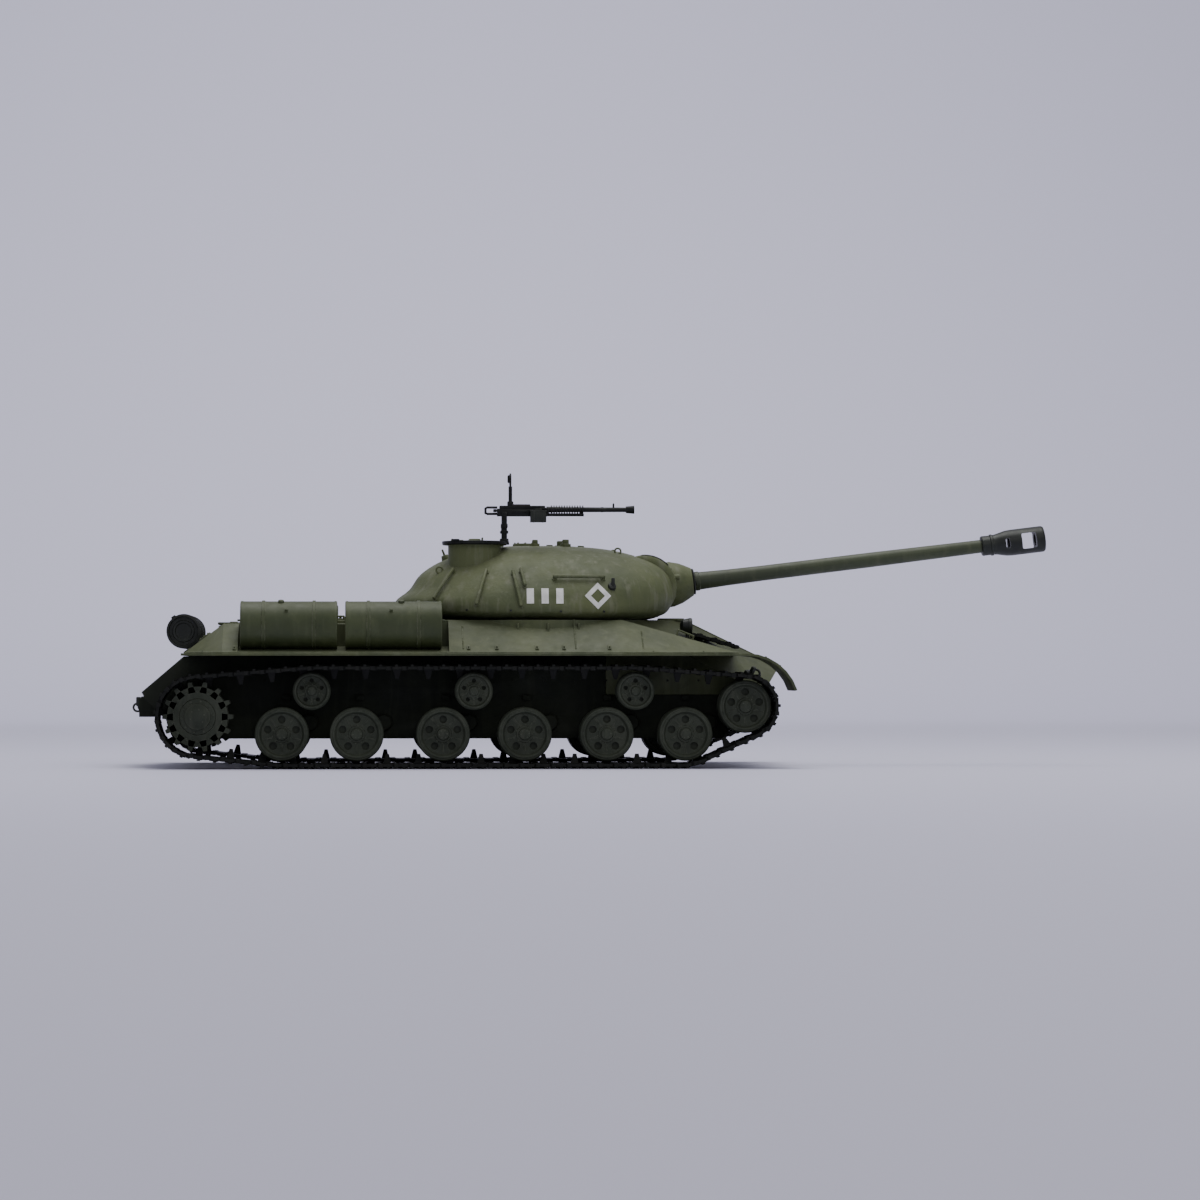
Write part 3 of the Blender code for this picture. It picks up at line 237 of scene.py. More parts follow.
def paintedFinish(name, look):
    # mottled paint: two tones in soft patches, rain streaks down the sides, dust on top, worn edges
    made = bpy.data.materials.new(name)
    made.use_nodes = True
    tree = made.node_tree
    shader = tree.nodes["Principled BSDF"]
    place = tree.nodes.new("ShaderNodeTexCoord").outputs["Object"]
    patches = rampOf(tree, noiseOf(tree, place, look["patchScale"]), 0.40, 0.62)
    colour = mixOf(tree, patches, look["dark"], look["base"])
    streaks = rampOf(tree, noiseOf(tree, place, 60.0, 3.0, (3.0, 3.0, 0.35)), 0.52, 0.74, 0.0,
            look.get("streaks", 0.5))
    colour = mixOf(tree, streaks, colour, look["light"])
    grime = rampOf(tree, noiseOf(tree, place, 190.0, 5.0), 0.55, 0.75, 0.0, look.get("grime", 0.4))
    colour = mixOf(tree, grime, colour, tuple(c * 0.55 for c in look["dark"]))
    if look.get("dust"):
        geometry = tree.nodes.new("ShaderNodeNewGeometry")
        split = tree.nodes.new("ShaderNodeSeparateXYZ")
        link(tree, geometry.outputs["Normal"], split.inputs["Vector"])
        top = rampOf(tree, split.outputs["Z"], 0.35, 1.0)
        dusty = mathOf(tree, "MULTIPLY", top, rampOf(tree, noiseOf(tree, place, 75.0), 0.30, 0.75, 0.2,
                look["dust"]))
        colour = mixOf(tree, dusty, colour, look["dustColour"])
    if look.get("wear"):
        bevel = addNode(tree, "ShaderNodeBevel", Radius=look.get("wearWidth", 0.0006))
        bevel.samples = 4
        real = tree.nodes.new("ShaderNodeNewGeometry")
        match = tree.nodes.new("ShaderNodeVectorMath")
        match.operation = "DOT_PRODUCT"
        link(tree, bevel.outputs["Normal"], match.inputs[0])
        link(tree, real.outputs["Normal"], match.inputs[1])
        edge = rampOf(tree, match.outputs["Value"], 0.995, 0.90)
        worn = mathOf(tree, "MULTIPLY", edge, rampOf(tree, noiseOf(tree, place, 220.0), 0.38, 0.60, 0.0,
                look["wear"]))
        colour = mixOf(tree, worn, colour, look["wearColour"])
    link(tree, colour, shader.inputs["Base Color"])
    rough = rampOf(tree, noiseOf(tree, place, 120.0), 0.3, 0.7, look["rough"] - 0.08, look["rough"] + 0.08)
    link(tree, rough, shader.inputs["Roughness"])
    shader.inputs["Metallic"].default_value = look.get("metal", 0.0)
    shader.inputs["Specular IOR Level"].default_value = look.get("gloss", 0.35)
    bump = addNode(tree, "ShaderNodeBump", Strength=look.get("bump", 0.25),
            Distance=look.get("bumpDepth", 0.0002))
    grain = mathOf(tree, "ADD", noiseOf(tree, place, look.get("grain", 900.0), 3.0),
            noiseOf(tree, place, 130.0, 3.0))
    link(tree, grain, bump.inputs["Height"])
    link(tree, bump.outputs["Normal"], shader.inputs["Normal"])
    return made


olive = {"base": (0.074, 0.088, 0.035), "dark": (0.046, 0.058, 0.024), "light": (0.120, 0.136, 0.074),
        "patchScale": 26.0,
         "dust": 0.55, "dustColour": (0.150, 0.160, 0.095), "wear": 0.55,
                 "wearColour": (0.190, 0.200, 0.130), "rough": 0.62}
hullPaint = paintedFinish("hullPaint", olive)
# the turret's olive is painted lighter than the hull's: painted light on the lit turret, with a coarser
# cast grain
turretPaintAndLight = paintedFinish("turretPaintAndLight", {**olive, "base": (0.098, 0.115, 0.046),
        "dark": (0.064, 0.079, 0.033),
                                            "light": (0.165, 0.170, 0.115), "bump": 0.6,
                                                    "bumpDepth": 0.0004, "grain": 420.0,
                                            "patchScale": 20.0, "streaks": 0.7})
drumPaint = paintedFinish("drumPaint", {**olive, "base": (0.050, 0.064, 0.022),
        "dark": (0.036, 0.048, 0.017),
                                        "light": (0.085, 0.100, 0.045), "dust": 0.35, "rough": 0.55})
# near-black olive for the lower hull, swing arms, inlet slats and suspension fittings: partly their darker
# paint, partly painted shade under the hull
tubPaintAndShade = paintedFinish("tubPaintAndShade", {**olive, "base": (0.019, 0.023, 0.014), "dark": (0.012, 0.015, 0.010),
                                      "light": (0.032, 0.037, 0.023), "dust": 0.2,
                                              "dustColour": (0.03, 0.033, 0.02),
                                      "wear": 0.3, "wearColour": (0.04, 0.046, 0.03), "rough": 0.72,
                                              "gloss": 0.2})
# dark olive for the wheels, rollers, idlers and sprockets: partly their paint, partly painted shade under
# the fenders, with worn edges
wheelPaintAndShade = paintedFinish("wheelPaintAndShade", {**olive, "base": (0.038, 0.046, 0.030),
        "dark": (0.024, 0.030, 0.019),
                                          "light": (0.060, 0.066, 0.045), "dust": 0.2,
                                                  "dustColour": (0.07, 0.075, 0.05),
                                          "wear": 0.8, "wearColour": (0.095, 0.105, 0.075),
                                                  "rough": 0.66, "gloss": 0.3})
linkSteel = paintedFinish("linkSteel", {"base": (0.013, 0.014, 0.012), "dark": (0.007, 0.008, 0.007),
        "light": (0.026, 0.025, 0.020),
                                        "patchScale": 60.0, "rough": 0.60, "metal": 0.5, "grime": 0.3,
                                                "gloss": 0.35,
                                        "bump": 0.4, "dust": 0.25, "dustColour": (0.035, 0.033, 0.026)})
gunPaint = paintedFinish("gunPaint", {**olive, "base": (0.045, 0.058, 0.025), "dark": (0.032, 0.042, 0.019),
                                      "light": (0.080, 0.092, 0.048), "dust": 0.3, "rough": 0.5,
                                              "gloss": 0.4})
brakePaint = paintedFinish("brakePaint", {**olive, "base": (0.016, 0.020, 0.015),
        "dark": (0.010, 0.012, 0.010),
                                          "light": (0.032, 0.038, 0.028), "dust": 0.2,
                                                  "dustColour": (0.06, 0.065, 0.05),
                                          "wearColour": (0.08, 0.085, 0.07), "rough": 0.45,
                                                  "metal": 0.3, "gloss": 0.45})
gunmetal = paintedFinish("gunmetal", {"base": (0.014, 0.015, 0.014), "dark": (0.008, 0.009, 0.009),
        "light": (0.035, 0.036, 0.033),
                                      "patchScale": 90.0, "rough": 0.40, "metal": 0.7, "gloss": 0.5,
                                              "bump": 0.15,
                                      "wear": 0.6, "wearWidth": 0.0002, "wearColour": (0.10, 0.10, 0.095)})
fadedBrown = paintedFinish("fadedBrown", {"base": (0.040, 0.034, 0.031), "dark": (0.024, 0.021, 0.019),
        "light": (0.075, 0.065, 0.060),
                                          "patchScale": 120.0, "rough": 0.6, "gloss": 0.3})
markWhite = paintedFinish("markWhite", {"base": (0.74, 0.74, 0.70), "dark": (0.60, 0.60, 0.56),
        "light": (0.82, 0.82, 0.79),
                                        "patchScale": 160.0, "grime": 0.12, "rough": 0.6, "gloss": 0.3,
                                                "bump": 0.2})
gearAlloy = paintedFinish("gearAlloy", {"base": (0.30, 0.30, 0.31), "dark": (0.22, 0.22, 0.23),
        "light": (0.38, 0.38, 0.39),
                                        "patchScale": 70.0, "rough": 0.38, "metal": 0.9, "grime": 0.2,
                                                "gloss": 0.5})
cellFilm = paintedFinish("cellFilm", {"base": (0.045, 0.080, 0.28), "dark": (0.035, 0.060, 0.22),
        "light": (0.07, 0.11, 0.34),
                                      "patchScale": 50.0, "rough": 0.28, "grime": 0.1, "gloss": 0.6,
                                              "bump": 0.3, "grain": 90.0})
boardFilm = paintedFinish("boardFilm", {"base": (0.018, 0.14, 0.05), "dark": (0.012, 0.10, 0.035),
        "light": (0.03, 0.20, 0.08),
                                        "patchScale": 80.0, "rough": 0.35, "grime": 0.1, "gloss": 0.6})
lampGlass = paintedFinish("lampGlass", {"base": (0.30, 0.32, 0.33), "dark": (0.22, 0.24, 0.25),
        "light": (0.45, 0.46, 0.46),
                                        "patchScale": 300.0, "rough": 0.15, "grime": 0.1, "gloss": 0.8,
                                                "bump": 0.3})
print("paints mixed")


# running gear
hullShift = nodeMiddle("left_sprocket").x + 0.1713     # the hull's middle, along X
wheelCount, rollerCount = 6, 3
wheelLook = {"radius": 0.0172, "half": 0.0115, "holes": 5, "holeRadius": 0.0026, "holeRing": 0.0094,
        "capRadius": 0.0040}
rollerLook = {"radius": 0.0121, "half": 0.0100, "holes": 5, "holeRadius": 0.0015, "holeRing": 0.0066,
        "capRadius": 0.0031}
idlerLook = {"radius": 0.0169, "half": 0.0115, "holes": 5, "holeRadius": 0.0026, "holeRing": 0.0094,
        "capRadius": 0.0042}


def wheelOutline(look):
    r, half, cap = look["radius"], look["half"], look["capRadius"]
    rim, dish, groove = r * 0.83, half - 0.0031, 0.0036
    return [
        (0, half + 0.0010), (cap * 0.62, half + 0.0010), (cap * 0.86, half + 0.0006),
         (cap, half - 0.0004), (cap, half - 0.0014),
        (cap + 0.0011, half - 0.0015), (cap + 0.0015, dish + 0.0006), (rim * 0.62, dish - 0.0002),
         (rim * 0.90, dish + 0.0004),
        (rim * 0.96, half - 0.0008), (rim, half - 0.0001), (rim + 0.0008, half),
         (rim + 0.0011, half - 0.0006),
        (r - 0.0009, half - 0.0006), (r - 0.0003, half - 0.0010), (r, half - 0.0016),
         (r, groove + 0.0006), (r - 0.0006, groove),
        (r * 0.66, groove), (r * 0.66, -groove), (r - 0.0006, -groove), (r, -groove - 0.0006),
         (r, -half + 0.0010),
        (r - 0.0010, -half), (rim, -half), (rim - 0.0010, -half + 0.0024), (r * 0.34, -half + 0.0020),
         (0.0046, -half),
        (0.0029, -half), (0.0029, 0.0040), (0, 0.0040),
    ]


def ringPlaces(count, radius, height, start=0.0):
    return [(radius * math.cos(start + math.tau * k / count),
            radius * math.sin(start + math.tau * k / count), height)
            for k in range(count)]


def wheelMesh(name, look):
    # lies on its back: its outer face looks along +Z
    bm = bmesh.new()
    addTurned(bm, wheelOutline(look), sides=40, closed=False)
    solid = bpy.data.objects.new(name, finishMesh(bm, name))
    bpy.context.scene.collection.objects.link(solid)
    half, cut = look["half"], bmesh.new()
    for x, y, z in ringPlaces(look["holes"], look["holeRing"], half, math.pi / 2):
        addRod(cut, (x, y, half - 0.0060), (x, y, half + 0.002), look["holeRadius"], sides=14)
    cutter = bpy.data.objects.new(name + "Holes", finishMesh(cut, name + "Holes"))
    bpy.context.scene.collection.objects.link(cutter)
    holes = solid.modifiers.new("holes", "BOOLEAN")
    holes.object, holes.operation, holes.solver = cutter, "DIFFERENCE", "EXACT"
    bpy.context.view_layer.update()
    made = bpy.data.meshes.new_from_object(solid.evaluated_get(bpy.context.evaluated_depsgraph_get()))
    for helper in (solid, cutter):
        bpy.data.objects.remove(helper)
    bm = bmesh.new()
    bm.from_mesh(made)
    small = look["radius"] / 0.0172
    # ribs between the holes
    for x, y, z in ringPlaces(look["holes"], look["holeRing"], 0, math.pi / 2 + math.pi / look["holes"]):
        addBlock(bm, (0.0062 * small, 0.0007, 0.0007), (x, y, half - 0.0030),
                Matrix.Rotation(math.atan2(y, x), 4, "Z"), 0.0002)
    for at in ringPlaces(10, look["capRadius"] + 0.0017 * small, half - 0.0026, 0.2):
        addBolt(bm, at, (0, 0, 1), 0.00042 * small, 0.0007)
    for at in ringPlaces(6, look["capRadius"] * 0.62, half + 0.0009, 0.1):
        addBolt(bm, at, (0, 0, 1), 0.00034 * small, 0.0005)
    return finishMesh(bm, name, 32)


def sprocketMesh(name):
    look = {"teeth": 14, "root": 0.0188, "tip": 0.0222, "ringAt": 0.0115, "ringThick": 0.0026,
            "drum": 0.0143}
    bm = bmesh.new()
    face = look["ringAt"] + look["ringThick"] / 2
    addTurned(bm, [(0, face + 0.0046), (0.0034, face + 0.0044), (0.0062, face + 0.0034),
            (0.0074, face + 0.0026), (0.0082, face + 0.0024),
                   (0.0086, face + 0.0012), (0.0112, face + 0.0004), (0.0118, face - 0.0006),
                    (look["drum"], face - 0.0012),
                   (look["drum"], -face + 0.0006), (0.0030, -face + 0.0006), (0.0030, -0.0385),
                    (0, -0.0385)], sides=44, closed=False)
    step = math.tau / look["teeth"]
    for middle in (look["ringAt"], -look["ringAt"]):
        for k in range(look["teeth"]):
            angle = k * step
            turn = Matrix.Rotation(angle, 4, "Z")
            tooth = addBlock(bm, (0.0068, 0.0046, look["ringThick"]),
                    turn @ Vector((look["tip"] - 0.0034, 0, middle)), turn)
            for v in tooth:                                   # a tooth narrows towards its tip
                out = (turn.inverted() @ v.co)
                if out.x > look["tip"] - 0.001:
                    out.y *= 0.52
                    v.co = turn @ out
        addTurned(bm, [(0.0118, middle - 0.0013), (0.0192, middle - 0.0013), (0.0192, middle + 0.0013),
                (0.0118, middle + 0.0013)],
                  sides=42)
    for at in ringPlaces(14, 0.0160, face, step / 2):
        addBolt(bm, at, (0, 0, 1), 0.00075, 0.0008)
    for at in ringPlaces(10, 0.0100, face + 0.0008, 0.1):
        addBolt(bm, at, (0, 0, 1), 0.00050, 0.0008)
    for at in ringPlaces(6, 0.0046, face + 0.0040, 0.3):
        addBolt(bm, at, (0, 0, 1), 0.00042, 0.0006)
    return finishMesh(bm, name, 32)


def facingOut(side, at):
    # +Z of a part that lies on its back turns to look away from the hull
    return Matrix.Translation(at) @ Matrix.Rotation(-side * math.pi / 2, 4, "X")


wheelShape, rollerShape = wheelMesh("wheelShape", wheelLook), wheelMesh("rollerShape", rollerLook)
idlerShape, sprocketShape = wheelMesh("idlerShape", idlerLook), sprocketMesh("sprocketShape")
trackMiddle = (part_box("left_track")[0].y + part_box("left_track")[1].y) / 2
for sideName, side in (("left", 1), ("right", -1)):
    turning = [(f"{sideName}_road_wheel_{n}", wheelShape) for n in range(1, wheelCount + 1)]
    turning += [(f"{sideName}_return_roller_{n}", rollerShape) for n in range(1, rollerCount + 1)]
    turning += [(f"{sideName}_idler", idlerShape), (f"{sideName}_sprocket", sprocketShape)]
    for nodeName, shape in turning:
        low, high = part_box(nodeName)
        spot = Vector(((low.x + high.x) / 2, side * trackMiddle, (low.z + high.z) / 2))
        if "wheel" in nodeName:
            spot.z = 0.0220
        mesh = movedCopy(shape, nodeName + "_turned", facingOut(side, spot))
        # the running gear takes the dark olive, which holds painted shade
        addPiece(mesh, nodeName + "_turned", wheelPaintAndShade, nodeName, (nodeName,))
    for n in range(1, wheelCount + 1):
        armNode = f"{sideName}_swing_arm_{n}"
        # the swing arms take the near-black lower-hull colour, which holds painted shade
        cadNodes[armNode].data.materials.clear()
        cadNodes[armNode].data.materials.append(tubPaintAndShade)
print("wheels, rollers and sprockets made")


# tracks
trackLook = {"pitch": 0.0100, "width": 0.0404, "thick": 0.0017, "horn": 0.0062, "depth": 0.0045}


def trackPath():
    # the outline that a band takes round the wheels, as points
    circles = []
    for nodeName, radius in ([(f"left_road_wheel_{n}", 0.0175) for n in (1,
            wheelCount)] + [("left_idler", 0.0172)]
                             + [(f"left_return_roller_{n}", 0.0124) for n in range(1,
                                     rollerCount + 1)] + [("left_sprocket", 0.0230)]):
        middle = nodeMiddle(nodeName)
        height = 0.0220 if "wheel" in nodeName else middle.z
        circles.append((Vector((middle.x, height)), radius))
    points = []
    for k in range(1440):
        way = Vector((math.cos(math.tau * k / 1440), math.sin(math.tau * k / 1440)))
        centre, radius = max(circles, key=lambda c: c[0].dot(way) + c[1])
        points.append(centre + way * radius)
    return points


def spacedAlong(points, wantedStep):
    lengths = [(b - a).length for a, b in zip(points, points[1:] + points[:1])]
    total = sum(lengths)
    count = round(total / wantedStep)
    spots, walked, k = [], 0.0, 0
    for n in range(count):
        target = total * n / count
        while walked + lengths[k] < target:
            walked += lengths[k]
            k += 1
        spots.append(points[k].lerp(points[(k + 1) % len(points)],
                (target - walked) / max(lengths[k], 1e-9)))
    return spots


def linkMesh(withHorn):
    # one track link: X runs along the track, Z looks out to the ground
    look, bm = trackLook, bmesh.new()
    width, thick, depth = look["width"], look["thick"], look["depth"]
    middle = 0.0022
    addBlock(bm, (0.0064, width, thick), (0, 0, middle))                              # plate
    # ground bar
    addBlock(bm, (0.0018, width * 0.98, depth - middle), (0.0006, 0, (depth + middle) / 2))
    for n in range(5):                                                                # knuckles for the pin
        y = (n - 2) * width * 0.208
        addBlock(bm, (0.0026, width * 0.098, 0.0026), (-0.0044, y + width * 0.052, middle - 0.0001))
        if n < 4:
            addBlock(bm, (0.0026, width * 0.098, 0.0026), (0.0044, y + width * 0.156, middle - 0.0001))
    addRod(bm, (-0.0050, -width / 2, middle), (-0.0050, width / 2, middle), 0.0008, sides=6)
    # raised ribs on the tread
    for y in (-0.30, 0.30):
        addBlock(bm, (0.0060, 0.0016, 0.0010), (0, y * width, middle + 0.0012))
    if withHorn:
        horn = addBlock(bm, (0.0052, 0.0042, look["horn"]), (0, 0, 0.0014 - look["horn"] / 2))
        for v in horn:
            if v.co.z < -0.002:
                v.co.x *= 0.42
                v.co.y *= 0.55
    return finishMesh(bm, "trackLink")


hornLink, plainLink = linkMesh(True), linkMesh(False)
pathSpots = spacedAlong(trackPath(), trackLook["pitch"])
for sideName, side in (("left", 1), ("right", -1)):
    bm = bmesh.new()
    for n, spot in enumerate(pathSpots):
        ahead, behind = pathSpots[(n + 1) % len(pathSpots)], pathSpots[n - 1]
        along = (ahead - behind).normalized()
        outward = Vector((along.y, -along.x))
        turn = Matrix((Vector((along.x, 0, along.y)), Vector((0, 1, 0)),
                Vector((outward.x, 0, outward.y)))).transposed().to_4x4()
        if turn.determinant() < 0:
            turn = Matrix((Vector((along.x, 0, along.y)), Vector((0, -1, 0)),
                    Vector((outward.x, 0, outward.y)))).transposed().to_4x4()
        place = Matrix.Translation((spot.x, side * trackMiddle, spot.y)) @ turn
        addCopy(bm, hornLink if n % 2 else plainLink, place)
    addPiece(bm, f"{sideName}_track_links", linkSteel, "hull", (f"{sideName}_track",), 30)
print("tracks laid,", len(pathSpots), "links a side")


# turret
def hullSpot(x, y, z):
    return Vector((x + hullShift, y, z))


def solidCut(mesh, cutters, joined=()):
    # Booleans done on a helper, which hands back a plain mesh
    helper = bpy.data.objects.new("helper", mesh)
    bpy.context.scene.collection.objects.link(helper)
    tools = []
    for cutMesh, operation in [(m, "UNION") for m in joined] + [(m, "DIFFERENCE") for m in cutters]:
        tool = bpy.data.objects.new("tool", cutMesh)
        bpy.context.scene.collection.objects.link(tool)
        tools.append(tool)
        step = helper.modifiers.new("step", "BOOLEAN")
        step.object, step.operation, step.solver = tool, operation, "EXACT"
    bpy.context.view_layer.update()
    made = bpy.data.meshes.new_from_object(helper.evaluated_get(bpy.context.evaluated_depsgraph_get()))
    for obj in [helper] + tools:
        bpy.data.objects.remove(obj)
    bm = bmesh.new()
    bm.from_mesh(made)
    bmesh.ops.remove_doubles(bm, verts=bm.verts, dist=2e-6)
    return bm


def meshOf(build, *sizes, **named):
    bm = bmesh.new()
    build(bm, *sizes, **named)
    return finishMesh(bm, "shape")


turretLook = {
    "foot": 0.0954, "height": 0.0487, "rear": -0.0450, "nose": 0.1380, "half": 0.0725,
            "roundness": 2.30, "wall": 0.0030,
    "levels": [   # share of the height, then how far in from rear, nose and side
        (0.000, 0.031, 0.020, 0.0125), (0.064, 0.011, 0.008, 0.0020), (0.136, 0.003, 0.003, 0.0000),
         (0.260, 0.000, 0.000, 0.0015),
        (0.415, 0.009, 0.000, 0.0050), (0.615, 0.016, 0.003, 0.0135), (0.780, 0.028, 0.013, 0.0230),
         (0.905, 0.044, 0.031, 0.0350),
        (0.970, 0.057, 0.048, 0.0450), (1.000, 0.072, 0.066, 0.0570)],
    "hatch": (0.0060, 0.0270), "hatchRadius": 0.0136, "collarTop": 0.1459, "collarRadius": 0.0170,
}


def smoothLevels(levels, between):
    # Catmull-Rom values between the stated levels
    made = []
    for k in range(len(levels) - 1):
        a, b, c, d = levels[max(k - 1, 0)], levels[k], levels[k + 1], levels[min(k + 2, len(levels) - 1)]
        for n in range(between):
            t = n / between
            made.append([0.5 * (2 * q + (r - p) * t + (2 * p - 5 * q + 4 * r - s) * t * t + (3 * q - p - 3 * r + s) * t ** 3)
                         for p, q, r, s in zip(a, b, c, d)])
    return made + [list(levels[-1])]


def addDome(bm, look, inset, sides, levels):
    ring = bmesh.ops.create_circle(bm, segments=sides, radius=1.0)["verts"]
    angles = [math.atan2(v.co.y, v.co.x) for v in ring]
    bottom = bm.faces.new(ring)
    for n, (share, fromRear, fromNose, fromSide) in enumerate(levels):
        if n:
            edges = [bm.edges.get((a, b)) for a, b in zip(ring, ring[1:] + ring[:1])]
            grown = bmesh.ops.extrude_edge_only(bm, edges=edges)["geom"]
            fresh = [v for v in grown if isinstance(v, bmesh.types.BMVert)]
            ring = [next(e.other_vert(v) for e in v.link_edges if e.other_vert(v) in fresh) for v in ring]
        rear, nose = look["rear"] + fromRear, look["nose"] - fromNose
        half, power = look["half"] - fromSide - inset, 2 / look["roundness"]
        middle, reach = (rear + nose) / 2, (nose - rear) / 2 - inset
        z = look["foot"] + share * look["height"] - (inset if share > 0.8 else 0)
        for v, angle in zip(ring, angles):
            c, s = math.cos(angle), math.sin(angle)
            v.co = hullSpot(middle + reach * math.copysign(abs(c) ** power, c),
                    half * math.copysign(abs(s) ** power, s), z)
    bm.faces.new(ring)
    return bottom


allLevels = smoothLevels(turretLook["levels"], 4)
domeMesh = meshOf(addDome, turretLook, 0.0, 80, allLevels)
insideMesh = meshOf(addDome, turretLook, turretLook["wall"], 32, turretLook["levels"][1:9])
trunnion = hullSpot(0.1180, 0, 0.1171)
hatchX, hatchY = turretLook["hatch"]
collars = [meshOf(addRod, hullSpot(hatchX, side * hatchY, 0.1281),
        hullSpot(hatchX, side * hatchY, turretLook["collarTop"]),
                  radius, sides=48, soft=0.0005) for side,
                          radius in ((1, 0.0160), (-1, turretLook["collarRadius"]))]
holes = [meshOf(addRod, hullSpot(hatchX, side * hatchY, 0.1241), hullSpot(hatchX, side * hatchY, 0.150),
        0.0140, sides=48)
         for side in (1, -1)]
cutMeshes = [insideMesh, meshOf(addRod, hullSpot(0.05, 0, 0.0934), hullSpot(0.05, 0, 0.1014), 0.0442,
        sides=64),
             meshOf(addRod, trunnion + Vector((0, -0.0184, 0)), trunnion + Vector((0, 0.0184, 0)),
                     0.0216, sides=64),
             meshOf(addBlock, (0.030, 0.0368, 0.0462), trunnion + Vector((0.015, 0, 0.0039)))] + holes
bm = solidCut(domeMesh, cutMeshes, collars)
turretMesh = finishMesh(bm, "turret_casting", 28)
turretSkin = BVHTree.FromPolygons([v.co.copy() for v in turretMesh.vertices],
        [tuple(p.vertices) for p in turretMesh.polygons])
# the turret casting takes the lighter olive, which holds painted light
addPiece(turretMesh, "turret_casting", turretPaintAndLight, "turret", ("turret_shell",))
cadNodes["turret_race"].data.materials.clear()
cadNodes["turret_race"].data.materials.append(gearAlloy)


def onTurretSide(side, x, z):
    return touch(turretSkin, hullSpot(x, side * 0.15, z), (0, -side, 0))


def onTurretTop(x, y):
    return touch(turretSkin, hullSpot(x, y, 0.25), (0, 0, -1))


railLook = {"wire": 0.0011, "standOff": 0.0023, "foot": 0.0017}
rails = [[(-0.0076, 0.1264), (-0.0199, 0.1083)], [(0.0130, 0.1257), (0.0066, 0.1051)],
        [(0.0300, 0.1250), (0.0345, 0.1040)],
         [(0.0352, 0.1262), (0.0372, 0.1165)], [(0.0563, 0.1215), (0.0879, 0.1215)]]
for side, sideName in ((1, "left"), (-1, "right")):
    bm = bmesh.new()
    for rail in rails:
        spots = []
        for n in range(5):
            x = rail[0][0] + (rail[1][0] - rail[0][0]) * n / 4
            z = rail[0][1] + (rail[1][1] - rail[0][1]) * n / 4
            point, normal = onTurretSide(side, x, z)
            spots.append((point, normal))
        line = [spots[0][0] - spots[0][1] * 0.0003] + [p + n * railLook["standOff"] for p,
                n in spots] + [spots[-1][0] - spots[-1][1] * 0.0003]
        addPipe(bm, line, railLook["wire"])
        for point, normal in (spots[0], spots[-1]):
            addRod(bm, point - normal * 0.0004, point + normal * 0.0006, railLook["foot"], sides=10)
    addPiece(bm, f"{sideName}_turret_rails", turretPaintAndLight, "turret")
    bm = bmesh.new()                                     # pistol port plug and its eyelet
    point, normal = onTurretSide(side, 0.0935, 0.1165)
    addRod(bm, point - normal * 0.001, point + normal * 0.0016, 0.0030, 0.0024, sides=20, soft=0.0003)
    addBlock(bm, (0.0022, 0.0018, 0.0082), point + normal * 0.0010 + Vector((0.0005, 0, 0.0010)),
            soft=0.0004)
    for x, z in ((0.0, 0.1015), (0.028, 0.1010), (0.060, 0.1005), (0.088, 0.1005)):
        point, normal = onTurretSide(side, x, z)
        addBolt(bm, point, normal, 0.0008, 0.0008)
    addPiece(bm, f"{sideName}_turret_fittings", brakePaint, "turret")

# roof fittings: periscopes, lifting eyes, vent, aerial foot
bm = bmesh.new()
for x, y, tall, wide in ((0.0460, -0.0130, 0.0042, 0.0050), (0.0660, -0.0150, 0.0046, 0.0056),
        (0.0640, 0.0160, 0.0046, 0.0056)):
    point, normal = onTurretTop(x, y)
    addRod(bm, point - Vector((0, 0, 0.001)), point + Vector((0, 0, 0.0016)), wide * 0.62, sides=20,
            soft=0.0003)
    addBlock(bm, (wide * 0.75, wide, tall - 0.0010), point + Vector((0, 0, tall / 2 + 0.0004)), soft=0.0006)
for x, y in ((0.0995, -0.0230), (0.0995, 0.0230), (-0.0165, -0.0330), (-0.0165, 0.0330)):
    point, normal = onTurretTop(x, y)
    addRing(bm, point + normal * 0.0012, (0, 1, 0), 0.0020, 0.0006, sides=16)
point, normal = onTurretTop(0.0400, 0.0)
addRod(bm, point - Vector((0, 0, 0.001)), point + Vector((0, 0, 0.0020)), 0.0085, 0.0078, sides=36,
        soft=0.0006)
for at in ringPlaces(8, 0.0066, 0.0020):
    addBolt(bm, point + Vector(at), (0, 0, 1), 0.0006, 0.0006)
point, normal = onTurretTop(-0.0120, 0.0)
addRod(bm, point - normal * 0.001, point + normal * 0.0030, 0.0032, 0.0022, sides=20, soft=0.0004)
addRod(bm, point + normal * 0.0028, point + normal * 0.0070, 0.0008, 0.0006, sides=10)
for x, y in ((0.0560, -0.0045), (0.0770, 0.0020), (0.0240, 0.0040)):
    point, normal = onTurretTop(x, y)
    addRod(bm, point - normal * 0.0006, point + normal * 0.0010, 0.0022, sides=16, soft=0.0003)
addPiece(bm, "turret_roof_fittings", turretPaintAndLight, "turret")

# plain white marks: three bars and an open diamond on each side
markLook = {"barX": (0.0405, 0.0500, 0.0595), "barZ": 0.1103, "bar": (0.0046, 0.0098),
        "diamond": (0.0842, 0.1105, 0.0086, 0.0046),
            "lift": 0.00018}


def addPatch(bm, side, corners, steps=5):
    # a thin skin of paint laid on the casting between four (x, z) corners
    grid = []
    for i in range(steps + 1):
        row = []
        for j in range(steps + 1):
            a = Vector(corners[0]).lerp(Vector(corners[1]), i / steps)
            b = Vector(corners[3]).lerp(Vector(corners[2]), i / steps)
            x, z = a.lerp(b, j / steps)
            point, normal = onTurretSide(side, x, z)
            row.append(bm.verts.new(point + normal * markLook["lift"]))
        grid.append(row)
    for i in range(steps):
        for j in range(steps):
            bm.faces.new((grid[i][j], grid[i + 1][j], grid[i + 1][j + 1], grid[i][j + 1]))


